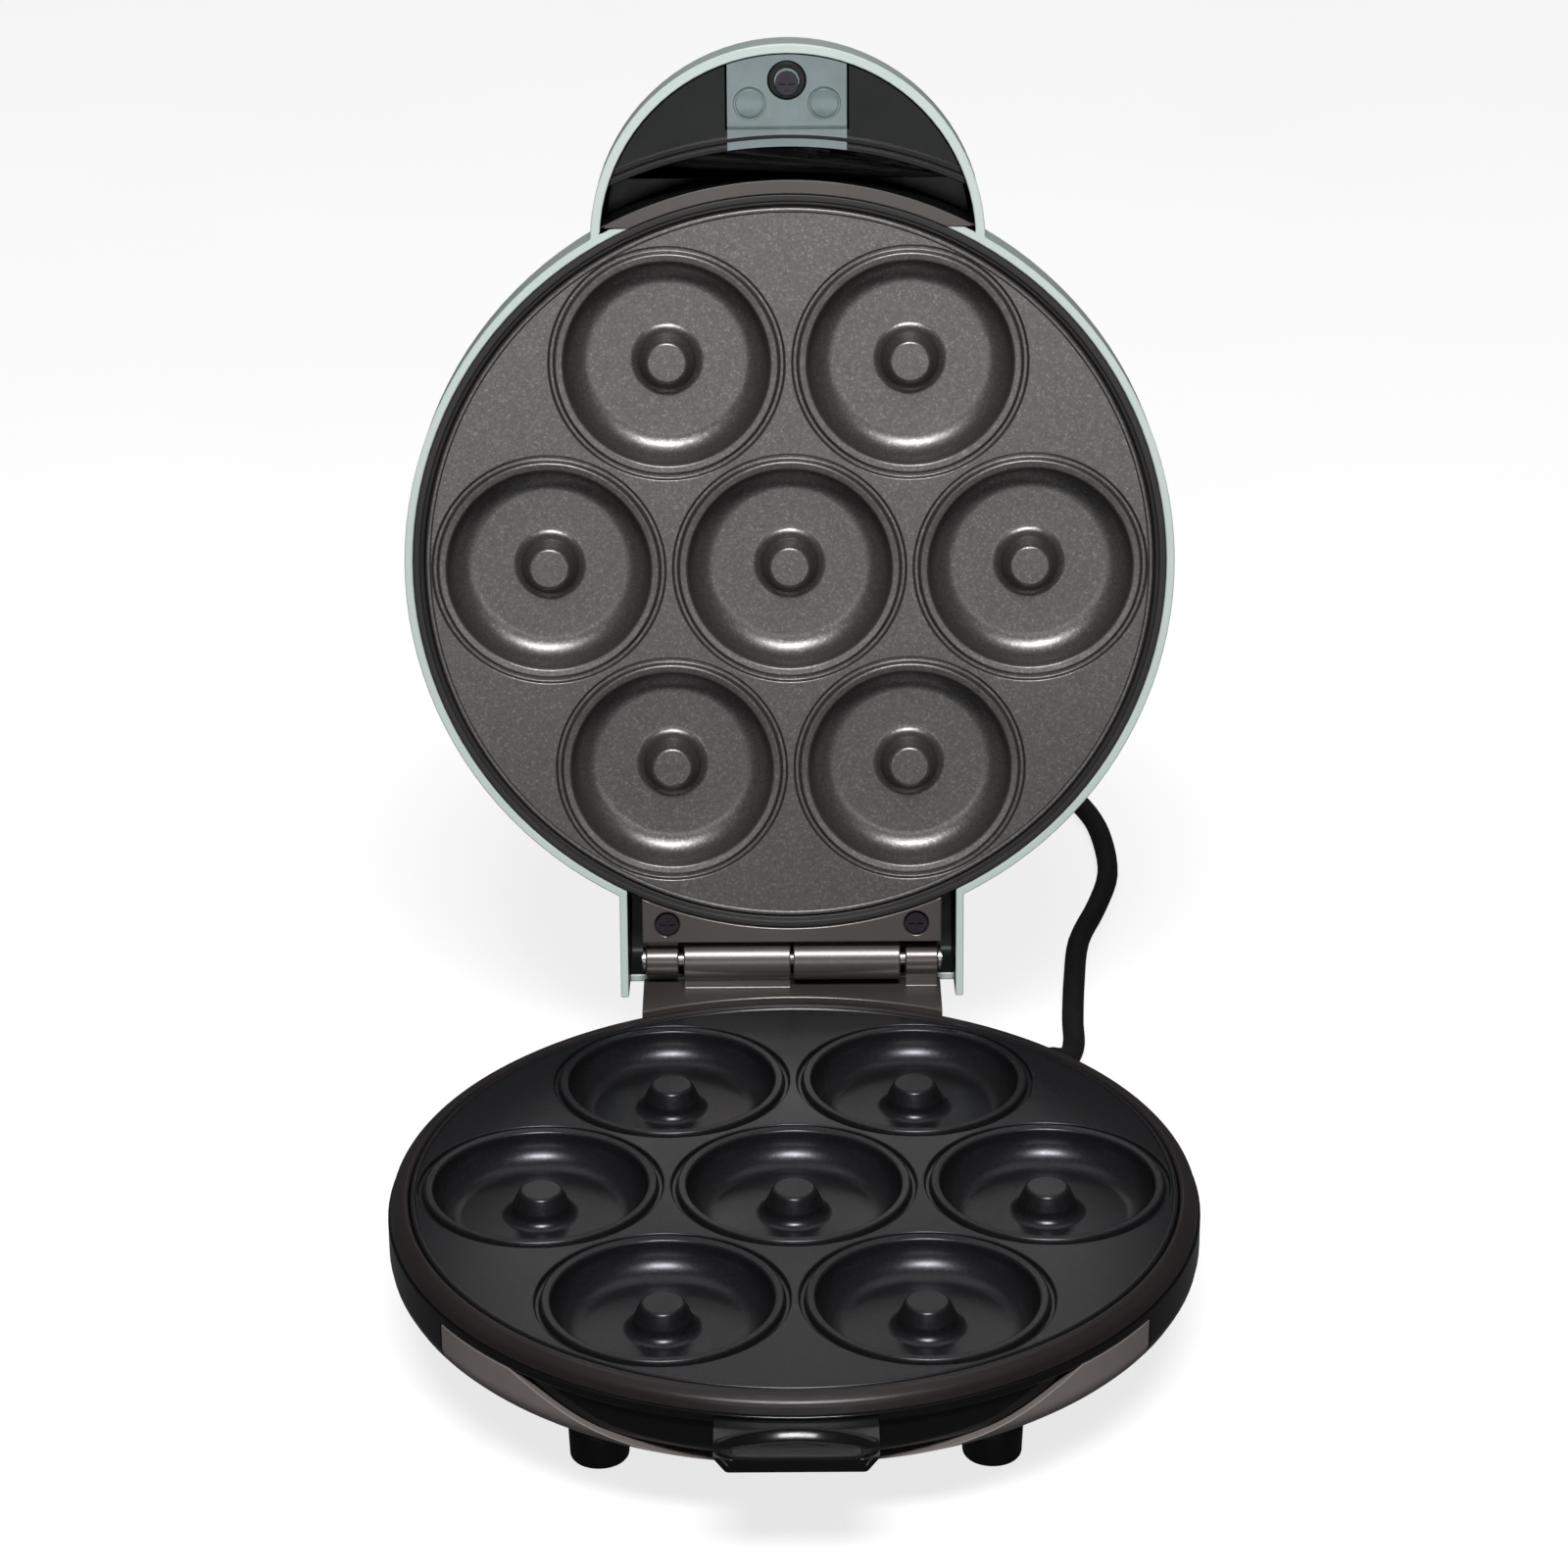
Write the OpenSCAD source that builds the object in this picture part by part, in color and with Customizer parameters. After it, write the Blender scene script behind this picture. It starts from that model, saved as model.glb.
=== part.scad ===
// Donut maker: a round appliance with seven ring moulds and a hinged lid, shown open.
// The origin is on the table, under the middle of the footprint with the lid open.
// +Z is up, -Y is the handle side, and the hinge runs along X.

/* [Body] */
// Outside radius of the base and of the lid
body_r = 104; // [104:0.5:126]
// Height of the parting plane above the table
part_z = 48; // [44:0.5:60]
// Height of the lid above the parting plane
lid_h = 44; // [42:1:56]
// Thickness of the plastic walls
wall = 2.2; // [1.8:0.1:2.7]
// Clearance between the table and the underside of the base
under_gap = 18; // [16:0.5:20]
// Radius of the flat underside, where the bowl starts to curve up
flat_r = 60; // [60:1:70]
// Height of the straight side wall of the base, below the parting plane
side_h = 14; // [11:0.5:16]
// Radius of the bottom cover
cover_r = 56; // [50:1:58]

/* [Feet] */
// Diameter of a foot
foot_d = 15.5; // [12:0.5:18]
// Height of the rubber foot
foot_h = 12; // [8:0.5:15]
// Distance of the feet from the middle line
foot_x = 49; // [40:1:55]
// Distance of the front feet in front of the body's centre
front_foot_y = 53; // [50:1:66]
// Distance of the rear feet behind the body's centre
rear_foot_y = 72; // [60:1:76]

/* [Moulds] */
// Radius of a mould at its mouth
mould_r = 27.5; // [24:0.5:27.5]
// Depth of a mould below the plate
mould_depth = 8.5; // [6:0.5:10.5]
// Radius of the nub in the middle of a mould
nub_r = 6; // [4:0.5:8]
// Thickness of the plate
plate_t = 2; // [1.5:0.1:2.5]
// Diameter of the tubular heaters
heater_d = 6.5; // [5:0.5:7]

/* [Hinge and handle] */
// Angle between the closed and the open lid
open_angle = 98; // [90:1:100]
// Diameter of the hinge barrels
barrel_d = 12; // [10:0.5:12.5]
// Diameter of the hinge pin
pin_d = 4; // [3:0.5:5]
// Outside width of the lid's hinge block
hinge_w = 95; // [90:1:104]
// Height of the hinge axis above the parting plane
hinge_up = 7.1; // [7:0.1:9]
// Radius of the half-round handle
handle_r = 52.3; // [48:0.5:62]
// How far the handle stands out of the body
handle_out = 37.2; // [34:0.5:44]
// Height of the handle
handle_h = 22; // [18:0.5:26]

/* [Front trim] */
// Half of the angle that the trim band covers
band_half = 57; // [45:1:70]
// Width of the grip on the front of the base
grip_w = 39; // [30:1:48]
// How far the grip stands out of the body
grip_out = 16; // [10:0.5:20]

/* [Cord] */
// Diameter of the mains cord
cord_d = 6.5; // [5:0.5:8]
// Mean radius of the coiled part
coil_r = 35; // [32:1:40]

/* [Hidden] */
$fn = 64;

// The body's centre stands this far in front of the origin
body_y = -26;
// Clearance between pieces that are put together
gap = 0.2;
// Running clearance of the hinge pin, on the radius
run = 0.05;

// Levels, above the table
bezel_drop = 5;
seam_z = part_z - bezel_drop;
bezel_edge_r = body_r - 0.6;
knee_z = part_z - side_h;
floor_z = under_gap + wall;

// Plates: they fit inside the front wall, and the land stands a little back from the parting plane
band_t = 2.4;
plate_r = body_r - band_t - wall - 1;
land_drop = 0.8;
rim_w = 2.8;
rim_drop = 6.4;
ledge_w = 2;
mould_edge = 4.5;
mould_outer = mould_r + mould_edge;
mould_pitch = plate_r - mould_outer - 1.4;
plate_back = land_drop + mould_depth + plate_t;
heater_z = plate_back + heater_d/2 + 0.1;
heater_r = mould_pitch - 5;
post_ring_r = body_r - 18;
post_r = 4.5;
screw_r = 1.5;
head_r = 3;
head_h = 2.2;
// Lengths of the plate's posts, and what their screws go through in the base and in the lid
post_drop = 16;
seat_t = 5;
lug_t = 3;
// Levels of the heat shields, away from the parting plane
shield_drop = plate_back + heater_d + 0.8;
shield_t = 0.8;
shield_r = post_ring_r - post_r - 2;
shield_post_r = mould_pitch/sqrt(3);
MOULDS = concat([[0, 0]], [for (i = [0:5]) mould_pitch*[cos(60*i), sin(60*i)]]);
POSTS = [for (a = [30, 150, 210, 330]) post_ring_r*[cos(a), sin(a)]];
SHIELD_POSTS = [for (s = [-1, 1]) [0, s*shield_post_r]];
// The heater's gap, and its two cold ends
heater_gap = 16;
cold_angle = heater_gap + 3;
COLD_ENDS = [for (s = [-1, 1]) heater_r*[s*sin(cold_angle), cos(cold_angle)]];
thermostat_y = -14;

// Trim band: it lies in a shallow recess round the front of the bowl, band_t deep
band_top = part_z - 7.3;
band_end_angle = 52;
lens_r = 153;
lens_low = 24;

// Grip: its level, and the two pegs that hold it
grip_top = part_z - 5.8;
grip_low = part_z - 9.8;
grip_slope = 3;
peg_x = 11;
peg_r = 1.5;

// Bottom cover's screws, and the ring on the floor that the cover and the terminal block rest on
COVER_SCREWS = [for (a = [0:90:270]) (cover_r - 3)*[cos(a), sin(a)]];
ring_top = floor_z + 2.4;
foot_peg_r = 3;

// Hinge, in the body's own frame
hinge_y = body_r + 8.9;
hinge_z = part_z + hinge_up;
cheek = 2.2;
block_back = hinge_y + 9.1;
inner_w = hinge_w - 2*cheek;
side_gap = 3.9;
bracket_w = inner_w - 2*side_gap;
bracket_back = hinge_y + 3.1;
platform_drop = 0.6;
platform_h = 11.4;
knuckle_out = bracket_w/2 - 0.9;
knuckle_in = knuckle_out - 9;
barrel_end = knuckle_in - 1.5;
web_t = 3;
knuckle_d = 9;
split = 0.4;
ear_gap = 0.7;
// Where the brackets and the rear tower start inside the round body
root_y = body_r - 44;
// The tower under the hinge platform, and the screws of the two brackets
tower_low = knee_z - 9;
tower_top = part_z - platform_drop - platform_h - 0.1;
tower_roof = 2.6;
tower_screw_x = bracket_w/2 - 8.7;
tower_screw_y = hinge_y - 4;
lid_screw_x = bracket_w/2 - 7;
lid_screw_y = sqrt(pow(body_r + 2.5, 2) - pow(lid_screw_x, 2));

// Lid, above the parting plane
lip_up = 0.5;
lid_knee = 16;
crown_drop = 2;
lid_flat_r = 55;
handle_wall = 2.6;
handle_y = body_r + handle_out - handle_r;
cover_up = 1.6;
cover_t = 2.4;
trough_w = 10;
liner_t = 1.4;
liner_h = 18;
sill_w = wall - 0.1;
handle_tip = body_r + handle_out;
lamp_x = 9.8;
lamp_y = handle_tip - 15.7;
lamp_screw_y = handle_tip - 10.2;
lamp_cover_w = 32;
lamp_cover_y = handle_tip - 22.6;

// Cord: where it comes out, and its route along the table
exit_dir = [0.49, 0.85, -0.19];
relief_len = 36;
gland_out = 4;
lie = cord_d/2;
ROUTE = [[68, 114, 19.5], [73, 122.7, 17.6], [77, 134, 11.5], [80.5, 147, 5.6], [82.5, 160, lie + 0.1],
    [83, 174, lie], [85, 200, lie], [88, 226, lie], [95, 250, lie], [100, 273, lie],
    [100, 298, lie], [97, 318, lie], [90, 335, lie], [76, 347, lie], [58, 351, lie],
    [38, 348, lie], [18, 343, lie]];
exit_p = ROUTE[0] - relief_len*exit_dir;
coil_c = [18, 305];
coil_in = coil_r - cord_d;
coil_out = coil_r + cord_d;
plug_at = [coil_c[0] - coil_r, 243];
plug_l = 44;
plug_h = 22;
// The terminal block inside, beside the cord's way in
block_c = [38, 52];
block_l = 24;
block_w = 12;
block_low = ring_top + 0.05;
block_h = part_z - shield_drop - shield_t - 1 - block_low;

// ---------------------------------------------------------------- helpers

function reverse(v) = [for (i = [len(v) - 1:-1:0]) v[i]];
function arc(c, r, a0, a1, n = 8) = [for (i = [0:n]) let (a = a0 + (a1 - a0)*i/n) c + r*[cos(a), sin(a)]];
function unit(v) = v/norm(v);

// The bowl's outline, o inside the outer surface, down to the angle a1
function bowl(o, a1 = 90, n = 12) = [for (i = [0:n]) let (a = a1*i/n)
    [flat_r + (body_r - flat_r - o)*cos(a), knee_z - (knee_z - under_gap - o)*sin(a)]];

// The lid's outline above the parting plane, o inside the outer surface
function dome(o, n = 12) = concat([[body_r - o, lid_knee]],
    [for (i = [1:n]) let (a = 90*i/n)
        [lid_flat_r + (body_r - lid_flat_r - o)*cos(a),
         lid_knee + (lid_h - crown_drop - lid_knee - o)*sin(a)]],
    [[0, lid_h - o]]);

// A smooth curve through points: k steps between each pair
function spline(p, k) = concat([for (i = [0:len(p) - 2]) each [for (j = [0:k - 1])
    let (t = j/k, a = p[max(i - 1, 0)], b = p[i], c = p[i + 1], d = p[min(i + 2, len(p) - 1)])
    0.5*(2*b + (c - a)*t + (2*a - 5*b + 4*c - d)*t*t + (3*b - a - 3*c + d)*t*t*t)]], [p[len(p) - 1]]);

// A round tube along a route
module tube(route, r, k = 3, sides = 8) {
    q = spline(route, k);
    n = len(q);
    function ahead(i) = unit(q[min(i + 1, n - 1)] - q[max(i - 1, 0)]);
    function side(i) = unit(cross(ahead(i), [0, 0, 1]));
    ring = [for (i = [0:n - 1]) each [for (j = [0:sides - 1]) let (a = 360*j/sides)
        q[i] + r*(cos(a)*side(i) + sin(a)*cross(side(i), ahead(i)))]];
    skin = [for (i = [0:n - 2]) each [for (j = [0:sides - 1]) let (m = (j + 1)%sides)
        [i*sides + j, i*sides + m, (i + 1)*sides + m, (i + 1)*sides + j]]];
    start = [for (j = [sides - 1:-1:0]) j];
    end = [for (j = [0:sides - 1]) (n - 1)*sides + j];
    polyhedron(concat(ring), concat(skin, [start], [end]), convexity = 10);
}

module at_each(points) {
    for (p = points) translate([p[0], p[1], 0]) children();
}

// A straight bar along X
module bar_x(x0, x1, r) {
    translate([x0, 0, 0]) rotate([0, 90, 0]) cylinder(h = x1 - x0, r = r);
}

module box(x0, x1, y0, y1, z0, z1) {
    translate([x0, y0, z0]) cube([x1 - x0, y1 - y0, z1 - z0]);
}

// Turns +Z to point along d
module aim(d) {
    rotate([0, acos(d[2]/norm(d)), atan2(d[1], d[0])]) children();
}

// Moves what is drawn along the X axis onto the hinge's axis
module at_hinge() {
    translate([0, hinge_y, hinge_z]) children();
}

// Moves a piece from the body's own frame to the part's frame
module in_place() {
    translate([0, body_y, 0]) children();
}

// Lays out a lid piece, drawn above z = 0 with the lid closed, and opens it
module in_lid() {
    in_place() translate([0, hinge_y, hinge_z]) rotate([-open_angle, 0, 0])
        translate([0, -hinge_y, -hinge_z]) translate([0, 0, part_z]) children();
}

// ---------------------------------------------------------------- plates

// A mould's section, seen from its axis outwards, with the cooking side up
module mould_section() {
    deep = -land_drop - mould_depth + 0.5;
    floor_in = nub_r + 5;
    floor_out = mould_r - 7.5;
    back = -plate_back;
    top = concat(
        [[0, -2.2]],
        arc([nub_r - 2.2, -3.4], 1.2, 90, 20, 4),
        [[nub_r + 1.2, deep + 3]],
        arc([floor_in, deep + 3.2], 3.2, 200, 270, 5),
        arc([floor_out, deep + 5], 5, 270, 340, 6),
        [[mould_r - 0.6, -1.6]],
        arc([mould_r + 1.4, -0.95], 0.8, 160, 0, 6),
        arc([mould_r + 3.2, -0.95], 0.75, 180, 360, 6),
        [[mould_outer, -land_drop]]);
    under = [[mould_outer, -land_drop - plate_t], [mould_r + plate_t, -land_drop - plate_t],
        [floor_out + 4.5, back], [0, back]];
    polygon(concat(top, under));
}

// The plate with its seven moulds, cooking side up and its land just under z = 0
module ring_plate() {
    difference() {
        translate([0, 0, -land_drop - plate_t]) cylinder(h = plate_t, r = plate_r - 1, $fn = 128);
        at_each(MOULDS) translate([0, 0, -land_drop - plate_t - 1])
            cylinder(h = plate_t + 2, r = mould_outer - 0.05);
    }
    rotate_extrude($fn = 128) polygon(concat(
        [[plate_r - rim_w, -rim_drop], [plate_r, -rim_drop]],
        arc([plate_r - 0.8, -1.1], 0.8, 0, 150, 5),
        [[plate_r - rim_w, -land_drop], [plate_r - rim_w - 0.5, -land_drop - plate_t]]));
    at_each(MOULDS) rotate_extrude() mould_section();
    difference() {
        at_each(POSTS) translate([0, 0, -post_drop]) cylinder(h = post_drop - land_drop - 1, r = post_r);
        at_each(POSTS) translate([0, 0, -post_drop - 1]) cylinder(h = 12, r = screw_r - 0.05);
    }
    difference() {
        at_each(SHIELD_POSTS) translate([0, 0, -shield_drop])
            cylinder(h = shield_drop - land_drop - 1, r = post_r);
        at_each(SHIELD_POSTS) translate([0, 0, -shield_drop - 1]) cylinder(h = 9, r = screw_r - 0.05);
    }
}

// The heater's loop with its two cold ends turned away from the plate
module heater_loop() {
    translate([0, 0, -heater_z]) rotate([0, 0, 90 + heater_gap])
        rotate_extrude(angle = 360 - 2*heater_gap, $fn = 96)
            translate([heater_r, 0]) circle(r = heater_d/2, $fn = 24);
    at_each(COLD_ENDS) translate([0, 0, -heater_z - 9]) cylinder(h = 9, r = heater_d/2 - 0.8, $fn = 24);
}

module heat_shield() {
    difference() {
        rotate_extrude($fn = 96) polygon([[0, -shield_drop - shield_t], [shield_r, -shield_drop - shield_t],
            [shield_r, -shield_drop + 4], [shield_r - shield_t, -shield_drop + 4],
            [shield_r - shield_t, -shield_drop], [0, -shield_drop]]);
        at_each(SHIELD_POSTS) translate([0, 0, -shield_drop - 2]) cylinder(h = 4, r = screw_r + gap);
        at_each(COLD_ENDS) translate([0, 0, -shield_drop - 2]) cylinder(h = 4, r = heater_d/2 + 0.4);
        translate([0, thermostat_y, -shield_drop - 2]) cylinder(h = 4, r = 9);
    }
}

module screw(shank) {
    cylinder(h = shank + 0.1, r = screw_r, $fn = 24);
    difference() {
        translate([0, 0, -head_h]) cylinder(h = head_h, r = head_r, $fn = 32);
        translate([-0.4, -2, -head_h - 1]) cube([0.8, 4, 2]);
        translate([-2, -0.4, -head_h - 1]) cube([4, 0.8, 2]);
    }
}

// ---------------------------------------------------------------- base

module lower_plate() {
    color("#3a3a3c") translate([0, 0, part_z]) ring_plate();
}

module lower_heater() {
    color("#8d8a84") translate([0, 0, part_z]) heater_loop();
}

module lower_reflector() {
    color("silver") translate([0, 0, part_z]) heat_shield();
}

module lower_reflector_screws() {
    color("silver") at_each(SHIELD_POSTS) translate([0, 0, part_z - shield_drop - shield_t]) screw(8);
}

// A part of the bowl's skin: from outer to inner below its surface, from the level top down to
// the bowl's angle a1, and half an angle to each side of the front
module band_region(inner, outer, top, half, a1) {
    rotate([0, 0, -90 - half]) rotate_extrude(angle = 2*half, $fn = 128) polygon(concat(
        [[body_r - outer, top]], bowl(outer, a1), reverse(bowl(inner, a1)), [[body_r - inner, top]]));
}

module grip_root(slack) {
    box(-grip_w/2 - slack, grip_w/2 + slack, -body_r - grip_out, -body_r + 8,
        grip_low - slack, grip_top + slack);
}

module foot_places() {
    for (s = [-1, 1]) {
        translate([s*foot_x, -front_foot_y, 0]) children();
        translate([s*foot_x, rear_foot_y, 0]) children();
    }
}

// The volume inside the base's shell
module bowl_inside() {
    rotate_extrude($fn = 128)
        polygon(concat([[0, part_z + 1], [body_r - wall, part_z + 1]], bowl(wall), [[0, floor_z]]));
}

module bowl_outside() {
    rotate_extrude($fn = 128) polygon(concat([[0, seam_z], [body_r, seam_z]], bowl(0), [[0, under_gap]]));
}

module base_housing() {
    color("#151515") difference() {
        union() {
            bowl_outside();
            foot_places() translate([0, 0, foot_h]) cylinder(h = floor_z - foot_h + 4, r = foot_d/2);
            box(-bracket_w/2, bracket_w/2, root_y, bracket_back, tower_low, tower_top);
            translate(exit_p - 10*exit_dir) aim(exit_dir) cylinder(h = 10 + gland_out, r = 7.5);
        }
        // Hollow, but for the floor's posts and ring and the front wall
        difference() {
            bowl_inside();
            band_region(band_t + wall, 0, seam_z, band_half + 1.3, band_end_angle + 6);
            difference() {
                foot_places() cylinder(h = floor_z + 4, r = foot_d/2);
                foot_places() translate([0, 0, foot_h - 1]) cylinder(h = 9, r = foot_peg_r - 0.05);
            }
            cylinder(h = ring_top, r = cover_r + 5);
            at_each(POSTS) cylinder(h = part_z - post_drop, r = post_r + 1);
            at_each(COVER_SCREWS) cylinder(h = ring_top + 3, r = 3.4);
        }
        band_region(band_t, -1, band_top, band_half, band_end_angle);
        grip_root(0.1);
        for (s = [-1, 1]) translate([s*peg_x, 0, (grip_low + grip_top)/2]) rotate([90, 0, 0])
            cylinder(h = body_r + 1, r = peg_r + 0.05, $fn = 24);
        foot_places() translate([0, 0, foot_h - 1]) cylinder(h = 9, r = foot_peg_r - 0.05);
        // Rear tower: hollow from the inside, with holes for the bracket's screws
        box(-bracket_w/2 + wall, bracket_w/2 - wall, root_y + 10, bracket_back - wall,
            tower_low + wall, tower_top - tower_roof);
        for (s = [-1, 1]) translate([s*tower_screw_x, tower_screw_y, 0]) {
            cylinder(h = part_z, r = screw_r + gap, $fn = 24);
            cylinder(h = tower_top - tower_roof, r = head_r + 0.6, $fn = 32);
        }
        // Opening for the bottom cover, and its screws
        translate([0, 0, -1]) cylinder(h = floor_z - gap + 1.3, r = cover_r + gap);
        cylinder(h = part_z, r = cover_r - 6);
        at_each(COVER_SCREWS) cylinder(h = ring_top + 3.6, r = screw_r - 0.05);
        // Deep holes for the plate's screws
        at_each(POSTS) cylinder(h = part_z, r = screw_r + gap);
        at_each(POSTS) cylinder(h = part_z - post_drop - seat_t, r = head_r + 0.5);
        // The cord's way in
        translate(exit_p - 14*exit_dir) aim(exit_dir) cylinder(h = 30, r = 4.6);
        translate([0, 0, seam_z]) cylinder(h = 30, r = body_r + 1);
    }
}

module base_bezel() {
    color("#3b3735") rotate_extrude($fn = 128) polygon(concat(
        [[plate_r + gap, -rim_drop - 0.1], [plate_r + gap, -1.2]],
        arc([plate_r + 1.2, -1.2], 1, 180, 90, 4),
        arc([body_r - 5.2, -5.0 - 0.1], 4.7, 80, 5, 8),
        [[bezel_edge_r, -bezel_drop], [body_r - band_t - wall, -bezel_drop],
         [plate_r + gap + 0.4, -bezel_drop - 0.6], [plate_r + gap + 0.4, -rim_drop - 2.6],
         [plate_r - ledge_w, -rim_drop - 2.6], [plate_r - ledge_w, -rim_drop - 0.1]]));
}

module bottom_cover() {
    color("#1a1a1a") difference() {
        translate([0, 0, under_gap]) cylinder(h = wall - 0.1, r = cover_r);
        at_each(COVER_SCREWS) cylinder(h = part_z, r = screw_r + gap);
        for (x = [-24:6:24]) box(x - 1, x + 1, -14, 14, 0, part_z);
    }
}

module bottom_screws() {
    color("silver") at_each(COVER_SCREWS) translate([0, 0, under_gap]) screw(6.5);
}

module front_trim_band() {
    color("#5a5655") difference() {
        band_region(band_t - 0.1, 0, band_top - 0.1, band_half - 0.15, band_end_angle - 0.5);
        translate([0, 0, part_z + lens_r - lens_low]) rotate([90, 0, 0])
            cylinder(h = body_r + 5, r = lens_r, $fn = 128);
    }
}

module front_grip() {
    root_r = body_r - band_t + 0.1;
    dish_r = 39.6;
    dish_depth = 1.6;
    color("#1c1a19") {
        difference() {
            intersection() {
                grip_root(0);
                rotate([90, 0, 0]) linear_extrude(body_r + grip_out) polygon([[-grip_w/2, grip_top],
                    [-grip_w/2 + grip_slope, grip_low], [grip_w/2 - grip_slope, grip_low],
                    [grip_w/2, grip_top]]);
            }
            translate([0, 0, part_z - 20]) cylinder(h = 30, r = root_r, $fn = 128);
            translate([0, -body_r - grip_out/2, grip_top + dish_r - dish_depth]) sphere(r = dish_r, $fn = 64);
        }
        for (s = [-1, 1]) translate([s*peg_x, -root_r + 2.4, (grip_low + grip_top)/2]) rotate([90, 0, 0])
            cylinder(h = 5, r = peg_r, $fn = 24);
    }
}

module foot() {
    rotate_extrude($fn = 48) polygon(concat([[0, 0]], arc([foot_d/2 - 1.5, 1.5], 1.5, 270, 360, 4),
        [[foot_d/2, foot_h - 0.05], [foot_peg_r, foot_h - 0.05], [foot_peg_r, foot_h + 6], [0, foot_h + 6]]));
}

module front_feet() {
    color("#121212") for (s = [-1, 1]) translate([s*foot_x, -front_foot_y, 0]) foot();
}

module rear_feet() {
    color("#121212") for (s = [-1, 1]) translate([s*foot_x, rear_foot_y, 0]) foot();
}

// The base's half of the hinge: a platform with the left barrel and the right knuckle
module base_hinge_bracket() {
    top = part_z - platform_drop;
    low = top - platform_h;
    color("#4a4542") difference() {
        union() {
            difference() {
                box(-bracket_w/2, bracket_w/2, root_y, bracket_back, low, top);
                cylinder(h = part_z, r = body_r + gap, $fn = 128);
                at_hinge() bar_x(-bracket_w, bracket_w, barrel_d/2 + 1.2);
            }
            box(-barrel_end, -split, hinge_y - 3, bracket_back, top - 2, hinge_z);
            box(knuckle_in, knuckle_out, hinge_y - 2.4, bracket_back, top - 2, hinge_z);
            at_hinge() bar_x(-barrel_end, -split, barrel_d/2);
            at_hinge() bar_x(knuckle_in, knuckle_out, knuckle_d/2);
        }
        at_hinge() bar_x(-bracket_w, bracket_w, pin_d/2 - 0.02);
        box(-bracket_w/2 + 3, bracket_w/2 - 3, body_r + 3, bracket_back - 2.4, low - 1, top - 4.2);
        for (s = [-1, 1]) translate([s*tower_screw_x, tower_screw_y, low - 1])
            cylinder(h = 9, r = screw_r - 0.05, $fn = 24);
    }
    color("#4a4542") for (s = [-1, 1]) translate([s*tower_screw_x, tower_screw_y, low]) difference() {
        cylinder(h = platform_h - 3, r = 3.2, $fn = 32);
        translate([0, 0, -1]) cylinder(h = 9, r = screw_r - 0.05, $fn = 24);
    }
}

module base_bracket_screws() {
    color("silver") for (s = [-1, 1])
        translate([s*tower_screw_x, tower_screw_y, tower_top - tower_roof]) screw(9);
}

module hinge_pin() {
    color("#b5b3b0") at_hinge() bar_x(-knuckle_out - 1.2, knuckle_out + 1.2, pin_d/2);
}

module pin_clips() {
    color("#b5b3b0") for (s = [-1, 1]) translate([s*(knuckle_out + 0.55), hinge_y, hinge_z])
        rotate([0, 90, 0]) difference() {
            cylinder(h = 0.7, r = pin_d/2 + 1.4, center = true, $fn = 32);
            cylinder(h = 2, r = pin_d/2, center = true, $fn = 32);
        }
}

module lower_plate_screws() {
    color("silver") at_each(POSTS) translate([0, 0, part_z - post_drop - seat_t]) screw(seat_t + 9);
}

module thermostat() {
    top = part_z - plate_back - 0.05;
    low = part_z - shield_drop - shield_t - 3;
    color("#d8cfc0") translate([0, thermostat_y, 0]) {
        translate([0, 0, low + 3]) cylinder(h = top - low - 3, r = 8, $fn = 48);
        for (s = [-1, 1]) box(s*4 - 1.6, s*4 + 1.6, -0.4, 0.4, low - 1.5, low + 3.1);
    }
}

module thermal_fuse() {
    z = part_z - shield_drop - shield_t - 2.1;
    color("#c9c4b8") translate([-34, 14, z]) bar_x(0, 18, 2);
}

module terminal_block() {
    color("#e6e0d4") translate([block_c[0], block_c[1], 0]) difference() {
        box(-block_l/2, block_l/2, -block_w/2, block_w/2, block_low, block_low + block_h);
        for (i = [-1:1]) translate([i*block_l/3, 0, 0]) cylinder(h = part_z, r = 1.6, $fn = 24);
    }
}

module cord_clamp() {
    in_dir = unit([exit_dir[0], exit_dir[1], 0]);
    color("#222222") translate([exit_p[0], exit_p[1], 0] - 12*in_dir)
        rotate([0, 0, atan2(in_dir[1], in_dir[0]) - 90]) difference() {
            box(-10, 10, -3, 3, ring_top + 1.8, ring_top + 9.8);
            translate([0, 0, exit_p[2] + 2.7]) rotate([90, 0, 0])
                cylinder(h = 20, r = cord_d/2, center = true, $fn = 32);
        }
}

module base_wiring() {
    z = block_low + block_h/2;
    prong_z = part_z - shield_drop - shield_t - 4;
    front = block_c[1] - block_w/2 - 0.1;
    back = block_c[1] + block_w/2 + 0.1;
    left = block_c[0] - block_l/2 - 0.1;
    color("#7a2b22") {
        tube([[block_c[0], back, z], [block_c[0], back + 4, z], [block_c[0] - 1, back + 8, z + 0.6],
            [block_c[0], back + 10.4, z + 1]], 1, 2, 6);
        tube([[left + 4, front, z], [left - 2, front - 10, z], [12, 12, (z + prong_z)/2],
            [6, thermostat_y + 8, prong_z], [4.4, thermostat_y + 2, prong_z]], 1, 2, 6);
        tube([[left, block_c[1] - 2, z], [left - 3, block_c[1] - 1, z - 0.2], [left - 5, block_c[1] + 1, z]],
            1, 2, 6);
    }
}

module strain_relief() {
    color("#161616") translate(exit_p) aim(exit_dir) {
        translate([0, 0, -8]) cylinder(h = 8.1 + gland_out, r = 4.5);
        translate([0, 0, gland_out + 0.05]) cylinder(h = 2, r = 6.6);
        difference() {
            translate([0, 0, gland_out + 0.05])
                cylinder(h = relief_len - gland_out - 0.05, r1 = 5.6, r2 = cord_d/2 + 0.9);
            for (i = [0:4]) translate([0, 0, 10 + 4.6*i]) difference() {
                cylinder(h = 1.6, r = 10);
                translate([0, 0, -1]) cylinder(h = 4, r = cord_d/2 + 0.7);
            }
        }
    }
}

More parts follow.
